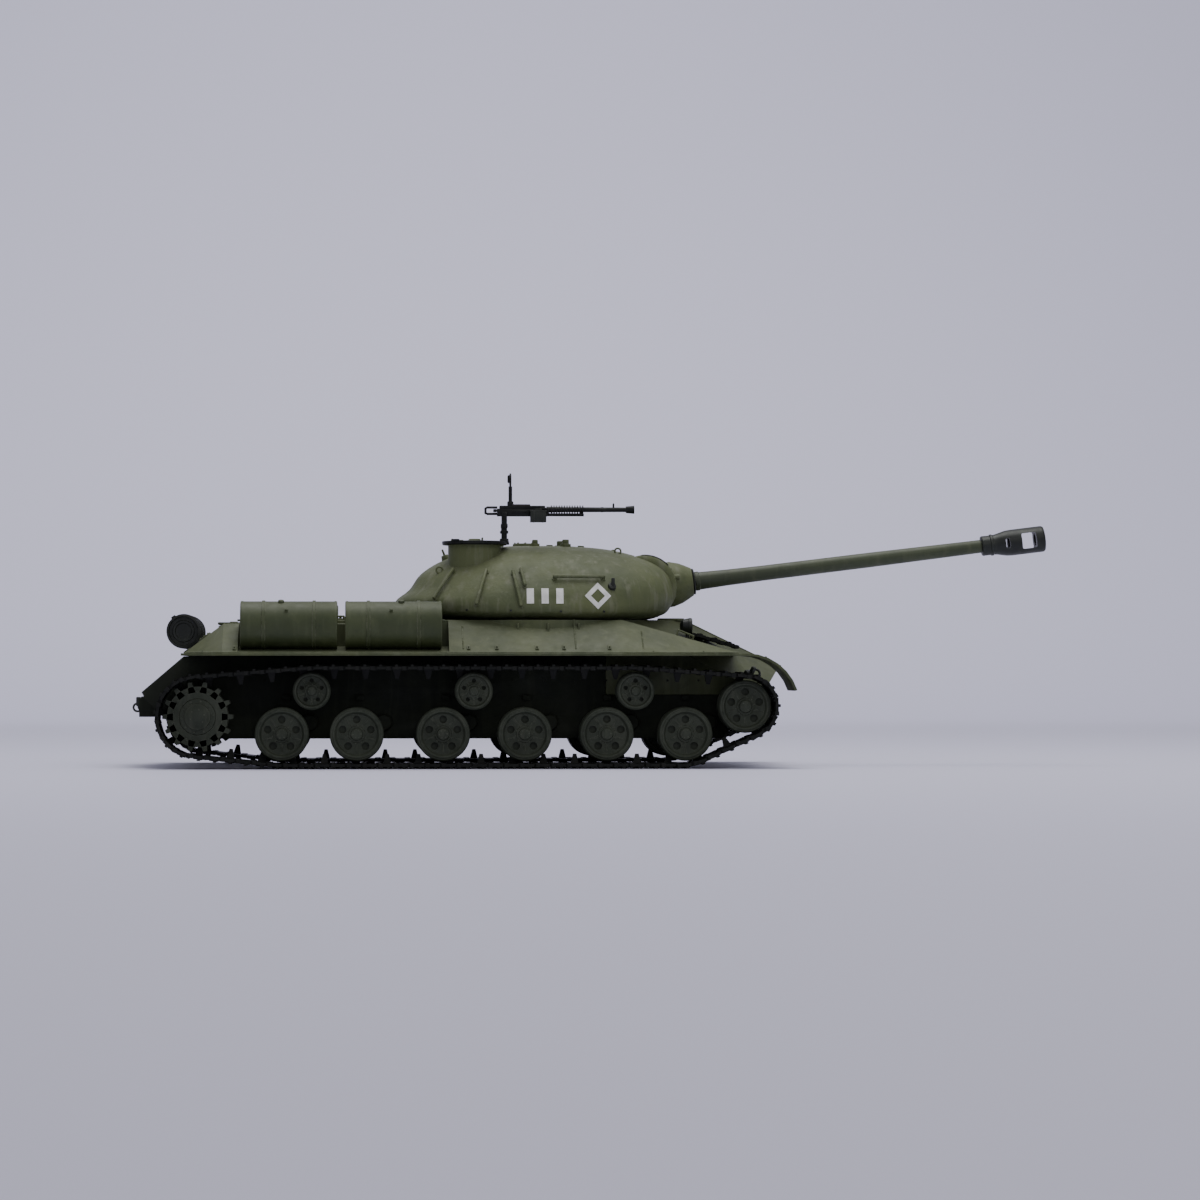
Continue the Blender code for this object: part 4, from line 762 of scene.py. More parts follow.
for side, sideName in ((1, "left"), (-1, "right")):
    bm = bmesh.new()
    wide, tall = markLook["bar"]
    for x in markLook["barX"]:
        z = markLook["barZ"]
        addPatch(bm, side, [(x - wide / 2, z - tall / 2), (x + wide / 2, z - tall / 2),
                (x + wide / 2, z + tall / 2), (x - wide / 2, z + tall / 2)])
    x, z, outer, inner = markLook["diamond"]
    outward, inward = [[(x + r * math.cos(a),
            z + r * math.sin(a)) for a in [math.pi / 2 * k for k in range(4)]] for r in (outer, inner)]
    for k in range(4):
        addPatch(bm, side, [inward[k], outward[k], outward[(k + 1) % 4], inward[(k + 1) % 4]], 4)
    bmesh.ops.remove_doubles(bm, verts=bm.verts, dist=1e-6)
    bmesh.ops.recalc_face_normals(bm, faces=bm.faces)
    wrong = [f for f in bm.faces if f.normal.y * side < 0]
    bmesh.ops.reverse_faces(bm, faces=wrong)
    bmesh.ops.solidify(bm, geom=bm.faces[:], thickness=0.00012)
    addPiece(bm, f"{sideName}_turret_marks", markWhite, "turret")
print("turret made")


# gun
gunLook = {"elevation": math.radians(7.05), "breech": 0.0331, "muzzle": 0.2265, "front": 0.2691,
           "barrel": [(0.0331, 0.0060), (0.0420, 0.0057), (0.0560, 0.0053), (0.0800, 0.0050),
                   (0.1500, 0.0049), (0.1900, 0.0046), (0.2262, 0.0043)]}
gunPlace = Matrix.Translation(trunnion) @ Matrix.Rotation(-gunLook["elevation"], 4, "Y")
# a turned part's height runs along the gun
alongGun = gunPlace @ Matrix.Rotation(math.pi / 2, 4, "Y")
mantletLook = {"radius": 0.0212, "half": 0.0180, "sleeve": [(0.0110, 0.0150), (0.0190, 0.0149),
        (0.0250, 0.0132), (0.0290, 0.0112),
                                                              (0.0315, 0.0098), (0.0327, 0.0092),
                                                               (0.0328, 0.0084)]}

bm = bmesh.new()
radius, half = mantletLook["radius"], mantletLook["half"]
addTurned(bm, [(0, half), (radius - 0.0035, half), (radius - 0.0015, half - 0.0004),
        (radius - 0.0005, half - 0.0012), (radius, half - 0.0030),
               (radius, 0.0030 - half), (radius - 0.0005, 0.0012 - half),
                (radius - 0.0015, 0.0004 - half), (radius - 0.0035, -half), (0, -half)],
          gunPlace @ Matrix.Rotation(math.pi / 2, 4, "X"), sides=72, closed=False)
block = finishMesh(bm, "block")
sleeve = meshOf(addTurned, [(0, 0.0060)] + [(0.0150, 0.0060)] + [(r, d) for d,
        r in mantletLook["sleeve"]] + [(0, 0.0328)], alongGun, 48, False)
seat = meshOf(addTurned, [(0, 0.0200), (0.0052, 0.0200), (0.0052, 0.0340), (0, 0.0340)], alongGun, 32,
        False)
bm = solidCut(block, [seat], [sleeve])
for way in (-1, 1):                                                    # sight opening and coaxial gun port
    spot = gunPlace @ Vector((0.0195, way * 0.0128, 0.0040))
    addRod(bm, spot - Vector((0.002, 0, 0)), spot + Vector((0.0042, 0, 0.0004)), 0.0019, sides=20,
            soft=0.0003)
for n in range(5):
    angle = math.radians(28 + 24 * n)
    for way in (-1, 1):
        spot = Vector((radius * math.cos(angle), way * (half - 0.0030), radius * math.sin(angle)))
        if angle < math.radians(60):
            addBolt(bm, gunPlace @ spot, gunPlace.to_3x3() @ Vector((math.cos(angle), 0,
                    math.sin(angle))), 0.0007, 0.0004)
addPiece(bm, "mantlet_casting", turretPaintAndLight, "gun", ("mantlet",), 30)

bm = bmesh.new()
addTurned(bm, [(0, 0.0235), (0.0044, 0.0235), (0.0046, 0.0331)] + [(r, d) for d, r in gunLook["barrel"]]
          + [(0.0036, gunLook["muzzle"]), (0.0036, gunLook["muzzle"] + 0.0060),
                  (0.0022, gunLook["muzzle"] + 0.0060),
             (0.0022, gunLook["muzzle"] - 0.0200), (0, gunLook["muzzle"] - 0.0200)], alongGun, 40, False)
addTurned(bm, [(0.0055, 0.0345), (0.0063, 0.0350), (0.0063, 0.0372), (0.0055, 0.0378)], alongGun, 40)
addPiece(bm, "gun_tube", gunPaint, "gun", ("gun_barrel",), 30)

# dark canvas-coloured ring where the tube leaves the sleeve
bm = bmesh.new()
addTurned(bm, [(0.0066, 0.0330), (0.0084, 0.0331), (0.0087, 0.0336), (0.0084, 0.0342),
        (0.0064, 0.0345)], alongGun, 40)
band = [(radius - 0.0001, -0.0168), (radius + 0.0003, -0.0164), (radius + 0.0003, 0.0164),
        (radius - 0.0001, 0.0168)]
verts = [bm.verts.new((r, y, 0)) for r, y in band]
edges = [bm.edges.new((a, b)) for a, b in zip(verts, verts[1:] + verts[:1])]
bandFace = bm.faces.new(verts)
bmesh.ops.spin(bm, geom=verts + edges + [bandFace], cent=(0, 0, 0), axis=(0, -1, 0),
        angle=math.radians(52), steps=16)
coverTurn = gunPlace @ Matrix.Rotation(-math.radians(36), 4, "Y")
bandVerts = {v for f in bm.faces for v in f.verts if abs(math.hypot(v.co.x,
        v.co.z) - radius) < 0.0012 and abs(v.co.y) > 0.0163
             and abs(v.co.y) < 0.0169}
bmesh.ops.transform(bm, matrix=coverTurn, verts=list(bandVerts))
addPiece(bm, "gun_seal", brakePaint, "gun", (), 30)

brakeLook = {"rear": 0.2268, "bore": 0.0039}
front = gunLook["front"]
bm = bmesh.new()
addTurned(bm, [(brakeLook["bore"], front), (0.0064, front), (0.0080, front - 0.0004),
        (0.0085, front - 0.0012), (0.0086, front - 0.0022),
               (0.0086, front - 0.0225), (0.0083, front - 0.0262), (0.0074, front - 0.0300),
                (0.0067, front - 0.0330),
               (0.0066, front - 0.0345), (0.0071, front - 0.0350), (0.0071, front - 0.0362),
                (0.0065, front - 0.0368),
               (0.0066, brakeLook["rear"] + 0.0006), (0.0062, brakeLook["rear"]),
                (brakeLook["bore"], brakeLook["rear"])], alongGun, 48)
brakeBody = finishMesh(bm, "brake")
ports = []
for near, far, tall in ((0.0238, 0.0268, 0.0034), (0.0062, 0.0160, 0.0052)):
    bm = bmesh.new()
    addBlock(bm, (far - near, 0.024, tall * 2), gunPlace @ Vector((front - (near + far) / 2, 0, 0)),
             Matrix.Rotation(-gunLook["elevation"], 4, "Y"), 0.0011)
    ports.append(finishMesh(bm, "port"))
bm = solidCut(brakeBody, ports)
addPiece(bm, "muzzle_brake_turned", brakePaint, "gun", ("muzzle_brake",), 30)
print("gun made")


# hatches and machine gun
lidLook = {"radius": 0.0134, "top": 0.1465}
for side, body in ((1, "commander_hatch"), (-1, "loader_hatch")):
    bm = bmesh.new()
    middle = hullSpot(hatchX, side * hatchY, 0)
    top = lidLook["top"]
    addTurned(bm, [(0, top + 0.0009), (0.0060, top + 0.0008), (0.0092, top + 0.0005), (0.0110, top),
            (0.0128, top - 0.0001),
                   (0.0134, top - 0.0006), (0.0134, top - 0.0024), (0, top - 0.0024)],
                    Matrix.Translation(middle), 48, False)
    addRod(bm, middle + Vector((0, 0, top + 0.0006)), middle + Vector((0, 0, top + 0.0018)), 0.0042,
            0.0036, sides=24, soft=0.0002)
    lug = hullSpot(hatchX, side * hatchY, 0) + Vector((-0.0146, 0, 0.1475))
    for way in (-0.0030, 0.0030):
        addBlock(bm, (0.0072, 0.0016, 0.0009), lug + Vector((0.0036, way, -0.0004)), soft=0.0002)
    addRod(bm, lug + Vector((0, -0.0048, 0)), lug + Vector((0, 0.0048, 0)), 0.0008, sides=14)
    addPipe(bm, [middle + Vector((0.0050, -0.0035, top)), middle + Vector((0.0050, -0.0035, top + 0.0022)),
                 middle + Vector((0.0050, 0.0035, top + 0.0022)),
                         middle + Vector((0.0050, 0.0035, top))], 0.0005)
    for at in ringPlaces(6, 0.0118, top - 0.0001, 0.4):
        addBolt(bm, middle + Vector(at), (0, 0, 1), 0.0005, 0.0004)
    addPiece(bm, body + "_lid", turretPaintAndLight, body, (body,), 32)

post = hullSpot(0.0253, -hatchY, 0.1645)                                 # where the gun pivots on its post
ringMiddle = hullSpot(hatchX, -hatchY, 0)


def onPost(x, y, z):
    return post + Vector((x, y, z))


bm = bmesh.new()
addTurned(bm, [(0.0211, 0.1466), (0.0212, 0.1460), (0.0212, 0.1447), (0.0207, 0.1441), (0.0178, 0.1441),
        (0.0175, 0.1446), (0.0175, 0.1462),
               (0.0180, 0.1467), (0.0190, 0.1467), (0.0192, 0.1463), (0.0200, 0.1463), (0.0202, 0.1467)],
          Matrix.Translation(ringMiddle), 56)
for at in ringPlaces(20, 0.0196, 0.1463, 0.1):
    addBolt(bm, ringMiddle + Vector(at), (0, 0, 1), 0.0004, 0.0004)
for at in ringPlaces(3, 0.0205, 0.1468, math.pi * 0.62):                 # clamps that hold the ring
    addBlock(bm, (0.0030, 0.0042, 0.0018), ringMiddle + Vector(at),
            Matrix.Rotation(math.atan2(at[1], at[0]), 4, "Z"), 0.0003)
addRod(bm, onPost(0, 0, -0.0200), onPost(0, 0, -0.0160), 0.0034, 0.0028, sides=24, soft=0.0003)
addRod(bm, onPost(0, 0, -0.0162), onPost(0, 0, -0.0088), 0.0019, sides=20)
addRod(bm, onPost(0, 0, -0.0128), onPost(0, 0, -0.0108), 0.0027, sides=20, soft=0.0003)
addBlock(bm, (0.0044, 0.0090, 0.0028), onPost(0, 0, -0.0078), soft=0.0005)
addPipe(bm, [onPost(-0.0006, 0.0018, -0.0118), onPost(-0.0012, 0.0058, -0.0112),
        onPost(-0.0012, 0.0078, -0.0092)], 0.0006)
for way in (-1, 1):
    addBlock(bm, (0.0034, 0.0012, 0.0086), onPost(0, way * 0.0039, -0.0030), soft=0.0003)
    addRod(bm, onPost(0, way * 0.0030, 0), onPost(0, way * 0.0054, 0), 0.0013, sides=16, soft=0.0002)
addPiece(bm, "ring_mount", gunmetal, "mg_mount", ("mg_mount",), 32)

line = 0.0030                                                            # barrel line above the pivot
bm = bmesh.new()
addBlock(bm, (0.0330, 0.0052, 0.0050), onPost(0.0118, 0, 0.0010), soft=0.0004)
addBlock(bm, (0.0300, 0.0036, 0.0022), onPost(0.0118, 0, 0.0044), soft=0.0007)
addBlock(bm, (0.0060, 0.0052, 0.0040), onPost(0.0262, 0, 0.0022), soft=0.0005)
addRod(bm, onPost(0.0276, 0, line), onPost(0.0400, 0, line), 0.0020, 0.0017, sides=20)
addRod(bm, onPost(0.0400, 0, line), onPost(0.0800, 0, line), 0.0017, 0.0015, sides=18)
for n in range(13):                                                      # cooling rings on the barrel
    x = 0.0305 + n * 0.0017
    addRod(bm, onPost(x, 0, line), onPost(x + 0.0007, 0, line), 0.0027, sides=20)
addRod(bm, onPost(0.0795, 0, line), onPost(0.0850, 0, line), 0.0022, 0.0027, sides=20, soft=0.0002)
addRod(bm, onPost(0.0270, 0, -0.0004), onPost(0.0520, 0, -0.0004), 0.0010, sides=14)
for x in (0.0500, 0.0640):
    addBlock(bm, (0.0018, 0.0018, 0.0034), onPost(x, 0, 0.0014 if x < 0.06 else line), soft=0.0003)
addBlock(bm, (0.0012, 0.0009, 0.0034), onPost(0.0714, 0, line + 0.0022), soft=0.0002)
addRing(bm, onPost(0.0714, 0, line + 0.0034), (1, 0, 0), 0.0009, 0.0002, sides=12)
# cocking handle slide
addBlock(bm, (0.0100, 0.0014, 0.0012), onPost(0.0100, -0.0030, 0.0016), soft=0.0003)
addRod(bm, onPost(0.0062, -0.0024, 0.0016), onPost(0.0062, -0.0052, 0.0016), 0.0006, sides=10)
for z in (0.0001, 0.0043):
    addPipe(bm, [onPost(-0.0045, 0, z), onPost(-0.0112, 0, z)], 0.0008, sides=12)
for way in (-1, 1):
    addPipe(bm, [onPost(-0.0112, way * 0.0006, 0.0043), onPost(-0.0122, way * 0.0020, 0.0036),
                 onPost(-0.0122, way * 0.0020, 0.0006), onPost(-0.0112, way * 0.0006, 0.0001)], 0.0007)
addBlock(bm, (0.0024, 0.0020, 0.0020), onPost(-0.0060, 0, 0.0022), soft=0.0004)
addRod(bm, onPost(0.0040, 0, 0.0050), onPost(0.0040, 0, 0.0180), 0.0012, sides=12)
addBlock(bm, (0.0040, 0.0030, 0.0030), onPost(0.0040, 0, 0.0068), soft=0.0006)
addRing(bm, onPost(0.0040, 0, 0.0217), (1, 0, 0), 0.0044, 0.0006, sides=32)
addRing(bm, onPost(0.0040, 0, 0.0217), (1, 0, 0), 0.0022, 0.0004, sides=24)
for angle in (0.0, math.pi / 2):
    reach = Vector((0, math.cos(angle), math.sin(angle))) * 0.0044
    addRod(bm, post + Vector((0.0040, 0, 0.0217)) - reach, post + Vector((0.0040, 0, 0.0217)) + reach,
            0.0004, sides=6)
# sight head
addBlock(bm, (0.0026, 0.0030, 0.0052), onPost(0.0034, 0, 0.0228), soft=0.0008)
addPiece(bm, "heavy_machine_gun", gunmetal, "machine_gun", ("machine_gun",), 32)

# receiver cover, and the ammunition box with its feed
bm = bmesh.new()
addBlock(bm, (0.0120, 0.0040, 0.0012), onPost(0.0110, 0, 0.0058), soft=0.0004)
addPiece(bm, "receiver_cover", fadedBrown, "machine_gun", (), 32)
bm = bmesh.new()
addBlock(bm, (0.0104, 0.0064, 0.0074), onPost(0.0220, -0.0045, -0.0018), soft=0.0004)
addBlock(bm, (0.0110, 0.0070, 0.0008), onPost(0.0220, -0.0045, 0.0019), soft=0.0002)
for x in (-0.0030, 0.0030):
    addBlock(bm, (0.0008, 0.0066, 0.0076), onPost(0.0220 + x, -0.0046, -0.0018), soft=0.0001)
addBlock(bm, (0.0050, 0.0030, 0.0014), onPost(0.0220, -0.0020, 0.0028), soft=0.0003)
addPiece(bm, "ammunition_box", brakePaint, "machine_gun", (), 32)
print("hatches and machine gun made")


# hull
hullSkin, tubSkin = skinOf("upper_hull"), skinOf("lower_hull")
softenedNode("upper_hull", hullPaint, "hull", 0.0004, 25)
# the lower hull is near black: partly its paint, partly painted shade
softenedNode("lower_hull", tubPaintAndShade, "hull", 0.0004, 25)
softenedNode("engine_cover", hullPaint, "engine_cover", 0.0003, 25)
softenedNode("driver_hatch", hullPaint, "driver_hatch", 0.0004, 25)
for nodeName, paint in (("battery_pack", cellFilm), ("control_board", boardFilm),
        ("left_gearbox", gearAlloy), ("right_gearbox", gearAlloy)):
    cadNodes[nodeName].data.materials.clear()
    cadNodes[nodeName].data.materials.append(paint)


def onHullTop(x, y):
    return touch(hullSkin, hullSpot(x, y, 0.20), (0, 0, -1))


def onHullSide(side, x, z):
    return touch(hullSkin, hullSpot(x, side * 0.16, z), (0, -side, 0))


def addWeld(bm, line, radius=0.0005):
    # a rough bead laid along points that already lie on the plate
    for start, end in zip(line, line[1:]):
        addRod(bm, start, end, radius, sides=6)
    for k, point in enumerate(line):
        addBall(bm, point, radius * (1.25 if k % 2 else 1.05), sides=6)


def topLine(xs, ys, count):
    made = []
    for n in range(count + 1):
        x, y = xs[0] + (xs[1] - xs[0]) * n / count, ys[0] + (ys[1] - ys[0]) * n / count
        point, normal = onHullTop(x, y)
        if point:
            made.append(point)
    return made


bm = bmesh.new()
for side in (1, -1):
    for x in (-0.0031, 0.0686, 0.1120):
        addWeld(bm, topLine((x, x), (side * 0.0690, side * 0.0935), 9))
    addWeld(bm, topLine((0.1000, 0.1740), (side * 0.0560, side * 0.0560), 20), 0.0004)
    addWeld(bm, topLine((0.1440, 0.0980), (side * 0.0015, side * 0.0500), 22))
    addWeld(bm, topLine((-0.1530, -0.0440), (side * 0.0600, side * 0.0600), 30), 0.0004)
addWeld(bm, topLine((0.1470, 0.2040), (0, 0), 22))
addWeld(bm, topLine((-0.1555, -0.1555), (-0.0580, 0.0580), 30), 0.0004)
addPiece(bm, "weld_seams", hullPaint, "hull", (), 60)

fenderPlaces = (-0.168, -0.148, 0.0003, 0.0182, 0.0437, 0.0610, 0.0900, 0.1180, 0.1500)
for side, sideName in ((1, "left"), (-1, "right")):
    bm = bmesh.new()
    for x in fenderPlaces:                       # small brackets that tie the fender to the hull side
        point, normal = onHullTop(x, side * 0.0925)
        if point and normal.z > 0.3:
            addBlock(bm, (0.0022, 0.0052, 0.0010), point + normal * 0.0004, turnTo(normal), 0.0002)
            addBolt(bm, point + normal * 0.0008 + Vector((0, side * 0.0012, 0)), normal, 0.0006, 0.0007)
    for x in (0.0326, 0.0518, 0.0717):                   # ribs under the turret's overhang
        point, normal = onHullSide(side, x, 0.0905)
        addBlock(bm, (0.0013, 0.0050, 0.0062), point + Vector((0, side * 0.0004, -0.0008)), soft=0.0003)
    for x in (0.1900, 0.1990):                            # front fender fixings
        point, normal = onHullTop(x, side * 0.0920)
        if point:
            addBolt(bm, point, normal, 0.0007, 0.0007)
    rod = [hullSpot(x, side * 0.0975, z) for x, z in ((-0.178, 0.0738), (0.172, 0.0738))]
    addRod(bm, *rod, 0.0006, sides=8)                     # rolled fender edge
    addPiece(bm, f"{sideName}_fender_fittings", hullPaint, "hull")

# stowage on the shelves and the rear plate
drumLook = {"radius": 0.0153, "length": 0.0615}
for side, sideName in ((1, "left"), (-1, "right")):
    for number in (1, 2):
        nodeName = f"{sideName}_fuel_drum_{number}"
        middle, r, half = nodeMiddle(nodeName), drumLook["radius"], drumLook["length"] / 2
        lying = Matrix.Translation(middle) @ Matrix.Rotation(math.pi / 2, 4, "Y")
        bm = bmesh.new()
        outline = [(0, half - 0.0012), (r - 0.0030, half - 0.0012), (r - 0.0022, half - 0.0004),
                (r - 0.0010, half), (r - 0.0003, half - 0.0003),
                   (r - 0.0001, half - 0.0012), (r - 0.0004, half - 0.0022)]
        addTurned(bm, outline + [(a, -b) for a, b in reversed(outline)], lying, 56, False)
        for at in (-half * 0.52, half * 0.52):            # hoops
            addTurned(bm, [(r - 0.0006, at - 0.0011), (r + 0.0002, at - 0.0009),
                    (r + 0.0002, at + 0.0009), (r - 0.0006, at + 0.0011)], lying, 56)
        up = Vector((0, -side * -0.30, 0.95)).normalized()
        capSpot = middle + Vector((half * (0.16 if number == 2 else -0.16), 0, 0)) + up * r
        addRod(bm, capSpot - up * 0.0008, capSpot + up * 0.0010, 0.0021, 0.0018, sides=20, soft=0.0003)
        out = Vector((0, side * 0.80, 0.60)).normalized()
        # latch
        addBlock(bm, (0.0022, 0.0014, 0.0020),
                middle + Vector((-half * 0.05, 0, 0)) + out * (r + 0.0001), turnTo(out), 0.0003)
        end = 1 if number == 2 else -1
        grip = middle + Vector((end * (half - 0.0008), 0, 0.0028))
        addPipe(bm, [grip + Vector((0, -0.0052, 0)), grip + Vector((end * 0.0022, -0.0046, 0)),
                     grip + Vector((end * 0.0022, 0.0046, 0)), grip + Vector((0, 0.0052, 0))], 0.0006)
        addPiece(bm, nodeName + "_turned", drumPaint, "hull", (nodeName,), 32)
    nodeName = f"{sideName}_smoke_canister"
    middle = Vector((hullSpot(-0.1820, 0, 0).x, side * 0.0270, 0.0878))
    half, r = 0.0210, 0.0109
    bm = bmesh.new()
    outline = [(0, half - 0.0020), (r * 0.46, half - 0.0020), (r * 0.50, half - 0.0012),
            (r * 0.62, half - 0.0012), (r * 0.66, half - 0.0022),
               (r * 0.84, half - 0.0022), (r * 0.88, half), (r, half - 0.0002), (r, half - 0.0016),
                (r - 0.0004, half - 0.0020)]
    addTurned(bm, outline + [(a, -b) for a, b in reversed(outline)],
              Matrix.Translation(middle) @ Matrix.Rotation(math.pi / 2, 4, "X"), 48, False)
    for at in (-0.0120, 0.0120):
        ring = [(r - 0.0005, at - 0.0014), (r + 0.0003, at - 0.0013), (r + 0.0003, at + 0.0013),
                (r - 0.0005, at + 0.0014)]
        addTurned(bm, ring, Matrix.Translation(middle) @ Matrix.Rotation(math.pi / 2, 4, "X"), 48)
        slant = math.atan2(0.0191, 0.0258)
        foot = Matrix.Translation(middle + Vector((0, at, 0))) @ Matrix.Rotation(-slant, 4, "Y")
        addBlock(bm, (0.0078, 0.0028, 0.0030), foot @ Vector((0, 0, -r - 0.0002)),
                Matrix.Rotation(-slant, 4, "Y"), 0.0004)
        addBolt(bm, foot @ Vector((0.0, 0, r + 0.0002)), foot.to_3x3() @ Vector((0, 0, 1)), 0.0007, 0.0008)
        addBlock(bm, (0.0030, 0.0024, 0.0016), foot @ Vector((0, 0, r + 0.0004)),
                Matrix.Rotation(-slant, 4, "Y"), 0.0003)
    for way in (-1, 1):
        for at in ringPlaces(4, r * 0.74, half - 0.0018, 0.3):
            addBolt(bm, middle + Vector((at[0], way * at[2], at[1])), (0, way, 0), 0.0005, 0.0005)
    addPiece(bm, nodeName + "_turned", brakePaint, "hull", (nodeName,), 32)
print("hull plates and stowage made")


# deck, nose and tail details
bm = bmesh.new()                                         # engine cover: hinge barrels, handles, bolts
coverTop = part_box("engine_cover")[1].z - 0.0014
for x in (-0.1280, -0.0760):
    addRod(bm, hullSpot(x - 0.0045, 0.0446, coverTop + 0.0003),
            hullSpot(x + 0.0045, 0.0446, coverTop + 0.0003), 0.0009, sides=14, soft=0.0002)
    addBlock(bm, (0.0080, 0.0040, 0.0008), hullSpot(x, 0.0420, coverTop + 0.0003), soft=0.0002)
for x in (-0.1200, -0.0840):
    addPipe(bm, [hullSpot(x - 0.0050, -0.0400, coverTop), hullSpot(x - 0.0050, -0.0400, coverTop + 0.0026),
                 hullSpot(x + 0.0050, -0.0400, coverTop + 0.0026),
                         hullSpot(x + 0.0050, -0.0400, coverTop)], 0.0006)
for n in range(8):
    for y in (-0.0435, 0.0360):
        addBolt(bm, hullSpot(-0.1410 + n * 0.0111, y, coverTop), (0, 0, 1), 0.0006, 0.0006)
addPiece(bm, "engine_cover_fittings", hullPaint, "engine_cover")
bm = bmesh.new()                                         # slats over the air inlets
for x in (-0.1238, -0.1020, -0.0802):
    for n in range(6):
        addBlock(bm, (0.0014, 0.0560, 0.0018), hullSpot(x - 0.0062 + n * 0.0025, 0, coverTop + 0.0018),
                 Matrix.Rotation(math.radians(32), 4, "Y"), 0.0002)
# the slats take the near-black colour, which holds painted shade in the inlets
addPiece(bm, "engine_cover_slats", tubPaintAndShade, "engine_cover")

bm = bmesh.new()                                         # side grilles, fillers and bolts of the rear deck
for side in (1, -1):
    for n in range(9):
        x = -0.1360 + n * 0.0060
        point, normal = onHullTop(x, side * 0.0540)
        addBlock(bm, (0.0022, 0.0090, 0.0010), point + Vector((0, 0, 0.0004)), soft=0.0002)
    for x in (-0.1500, -0.0520):
        point, normal = onHullTop(x, side * 0.0330)
        addRod(bm, point - Vector((0, 0, 0.0005)), point + Vector((0, 0, 0.0010)), 0.0042, 0.0040,
                sides=28, soft=0.0003)
        addBlock(bm, (0.0050, 0.0012, 0.0008), point + Vector((0, 0, 0.0013)), soft=0.0002)
    for x in (-0.152, -0.100, -0.050):
        point, normal = onHullTop(x, side * 0.0500)
        if point:
            addBolt(bm, point, normal, 0.0007, 0.0006)
point, normal = onHullTop(-0.0500, 0)
addBlock(bm, (0.0040, 0.0560, 0.0012), point + Vector((0.0005, 0, 0.0004)), soft=0.0003)
# raised rear lip
addBlock(bm, (0.0200, 0.0900, 0.0016), onHullTop(-0.1500, 0)[0] + Vector((0, 0, 0.0003)), soft=0.0004)
addPiece(bm, "rear_deck_fittings", hullPaint, "hull")

rearSlant = math.atan2(0.0191, 0.0258)


def onRearPlate(along, y):
    # along runs down the sloped plate behind the engine deck
    start = hullSpot(-0.1557 - along * math.cos(rearSlant), y,
            0.0925 - along * math.sin(rearSlant)) + Vector((-0.02, 0, 0.03))
    return touch(hullSkin, start, (0.02, 0, -0.03))


bm = bmesh.new()                                         # rear plate: bolt rows, round covers, hinges
for n in range(11):
    for along in (0.0035, 0.0280):
        point, normal = onRearPlate(along, -0.0500 + n * 0.0100)
        if point:
            addBolt(bm, point, normal, 0.0008, 0.0008)
for y in (-0.0525, 0.0525):
    point, normal = onRearPlate(0.0150, y)
    if point:
        addRod(bm, point - normal * 0.0006, point + normal * 0.0012, 0.0048, 0.0044, sides=28, soft=0.0003)
        for at in ringPlaces(6, 0.0034, 0.0012):
            addBolt(bm, Matrix.Translation(point) @ turnTo(normal) @ Vector(at), normal, 0.0005, 0.0005)
for y in (-0.0300, 0.0300):
    point, normal = onRearPlate(0.0300, y)
    if point:
        addBlock(bm, (0.0100, 0.0050, 0.0016), point + normal * 0.0006, turnTo(normal), 0.0004)
addPiece(bm, "rear_plate_fittings", hullPaint, "hull")


def onNose(x, y):
    return touch(hullSkin, hullSpot(x, y, 0.20), (0, 0, -1))


bm = bmesh.new()                                         # tow hooks with their shackles, front and rear
for side in (1, -1):
    point, normal = onNose(0.1830, side * 0.0400)
    if point:
        tilt = turnTo(normal)
        addBlock(bm, (0.0070, 0.0030, 0.0050), point + normal * 0.0015, tilt, 0.0006)
        addBlock(bm, (0.0030, 0.0030, 0.0060), point + normal * 0.0040 + Vector((0.0018, 0, 0)), tilt,
                0.0009)
        addRing(bm, point + normal * 0.0030 + Vector((0.0040, 0, -0.0012)), (0.2, 1, 0.3), 0.0030,
                0.0008, 20)
    point, normal = touch(tubSkin, hullSpot(-0.30, side * 0.0300, 0.0420), (1, 0, 0))
    if point:
        addBlock(bm, (0.0030, 0.0030, 0.0060), point + Vector((-0.0006, 0, 0.0004)), soft=0.0006)
        addRing(bm, point + Vector((-0.0012, 0, -0.0034)), (0, 1, 0.2), 0.0026, 0.0007, 20)
addPiece(bm, "tow_hooks", brakePaint, "hull")

bm = bmesh.new()                                         # spare links clipped to the nose plate
for side in (1, -1):
    lie = turnTo(onNose(0.1520, side * 0.0290)[1], math.pi / 2) @ Matrix.Diagonal((1, 0.72, 0.8, 1))
    for n in range(3):
        point, normal = onNose(0.1520 + n * 0.0094, side * 0.0290)
        addCopy(bm, plainLink, Matrix.Translation(point + normal * 0.0026) @ lie)
addPiece(bm, "spare_links", linkSteel, "hull", (), 30)

lampAt = hullSpot(0.1450, -0.0280, 0.0915)
bm = bmesh.new()                                         # headlight with its horn
addTurned(bm, [(0, -0.0050), (0.0022, -0.0048), (0.0042, -0.0030), (0.0049, -0.0004), (0.0050, 0.0006),
        (0.0053, 0.0010), (0.0053, 0.0026),
               (0.0049, 0.0030), (0.0045, 0.0026), (0.0043, 0.0008), (0, 0.0004)],
          Matrix.Translation(lampAt) @ Matrix.Rotation(math.pi / 2, 4, "Y"), 40, False)
point, normal = onNose(0.1450, -0.0280)
addRod(bm, point, lampAt + Vector((0, 0, -0.0042)), 0.0014, 0.0011, sides=16)
addRod(bm, point - normal * 0.0004, point + normal * 0.0008, 0.0030, sides=20)
addRod(bm, onNose(0.1575, -0.0290)[0], onNose(0.1575, -0.0290)[0] + Vector((0, 0, 0.0032)), 0.0014,
        0.0022, sides=18, soft=0.0002)
addPiece(bm, "headlight_turned", brakePaint, "hull", ("headlight",), 32)
bm = bmesh.new()
addTurned(bm, [(0, 0.0032), (0.0020, 0.0030), (0.0036, 0.0024), (0.0044, 0.0014), (0.0042, 0.0010),
        (0, 0.0010)],
          Matrix.Translation(lampAt) @ Matrix.Rotation(math.pi / 2, 4, "Y"), 32, False)
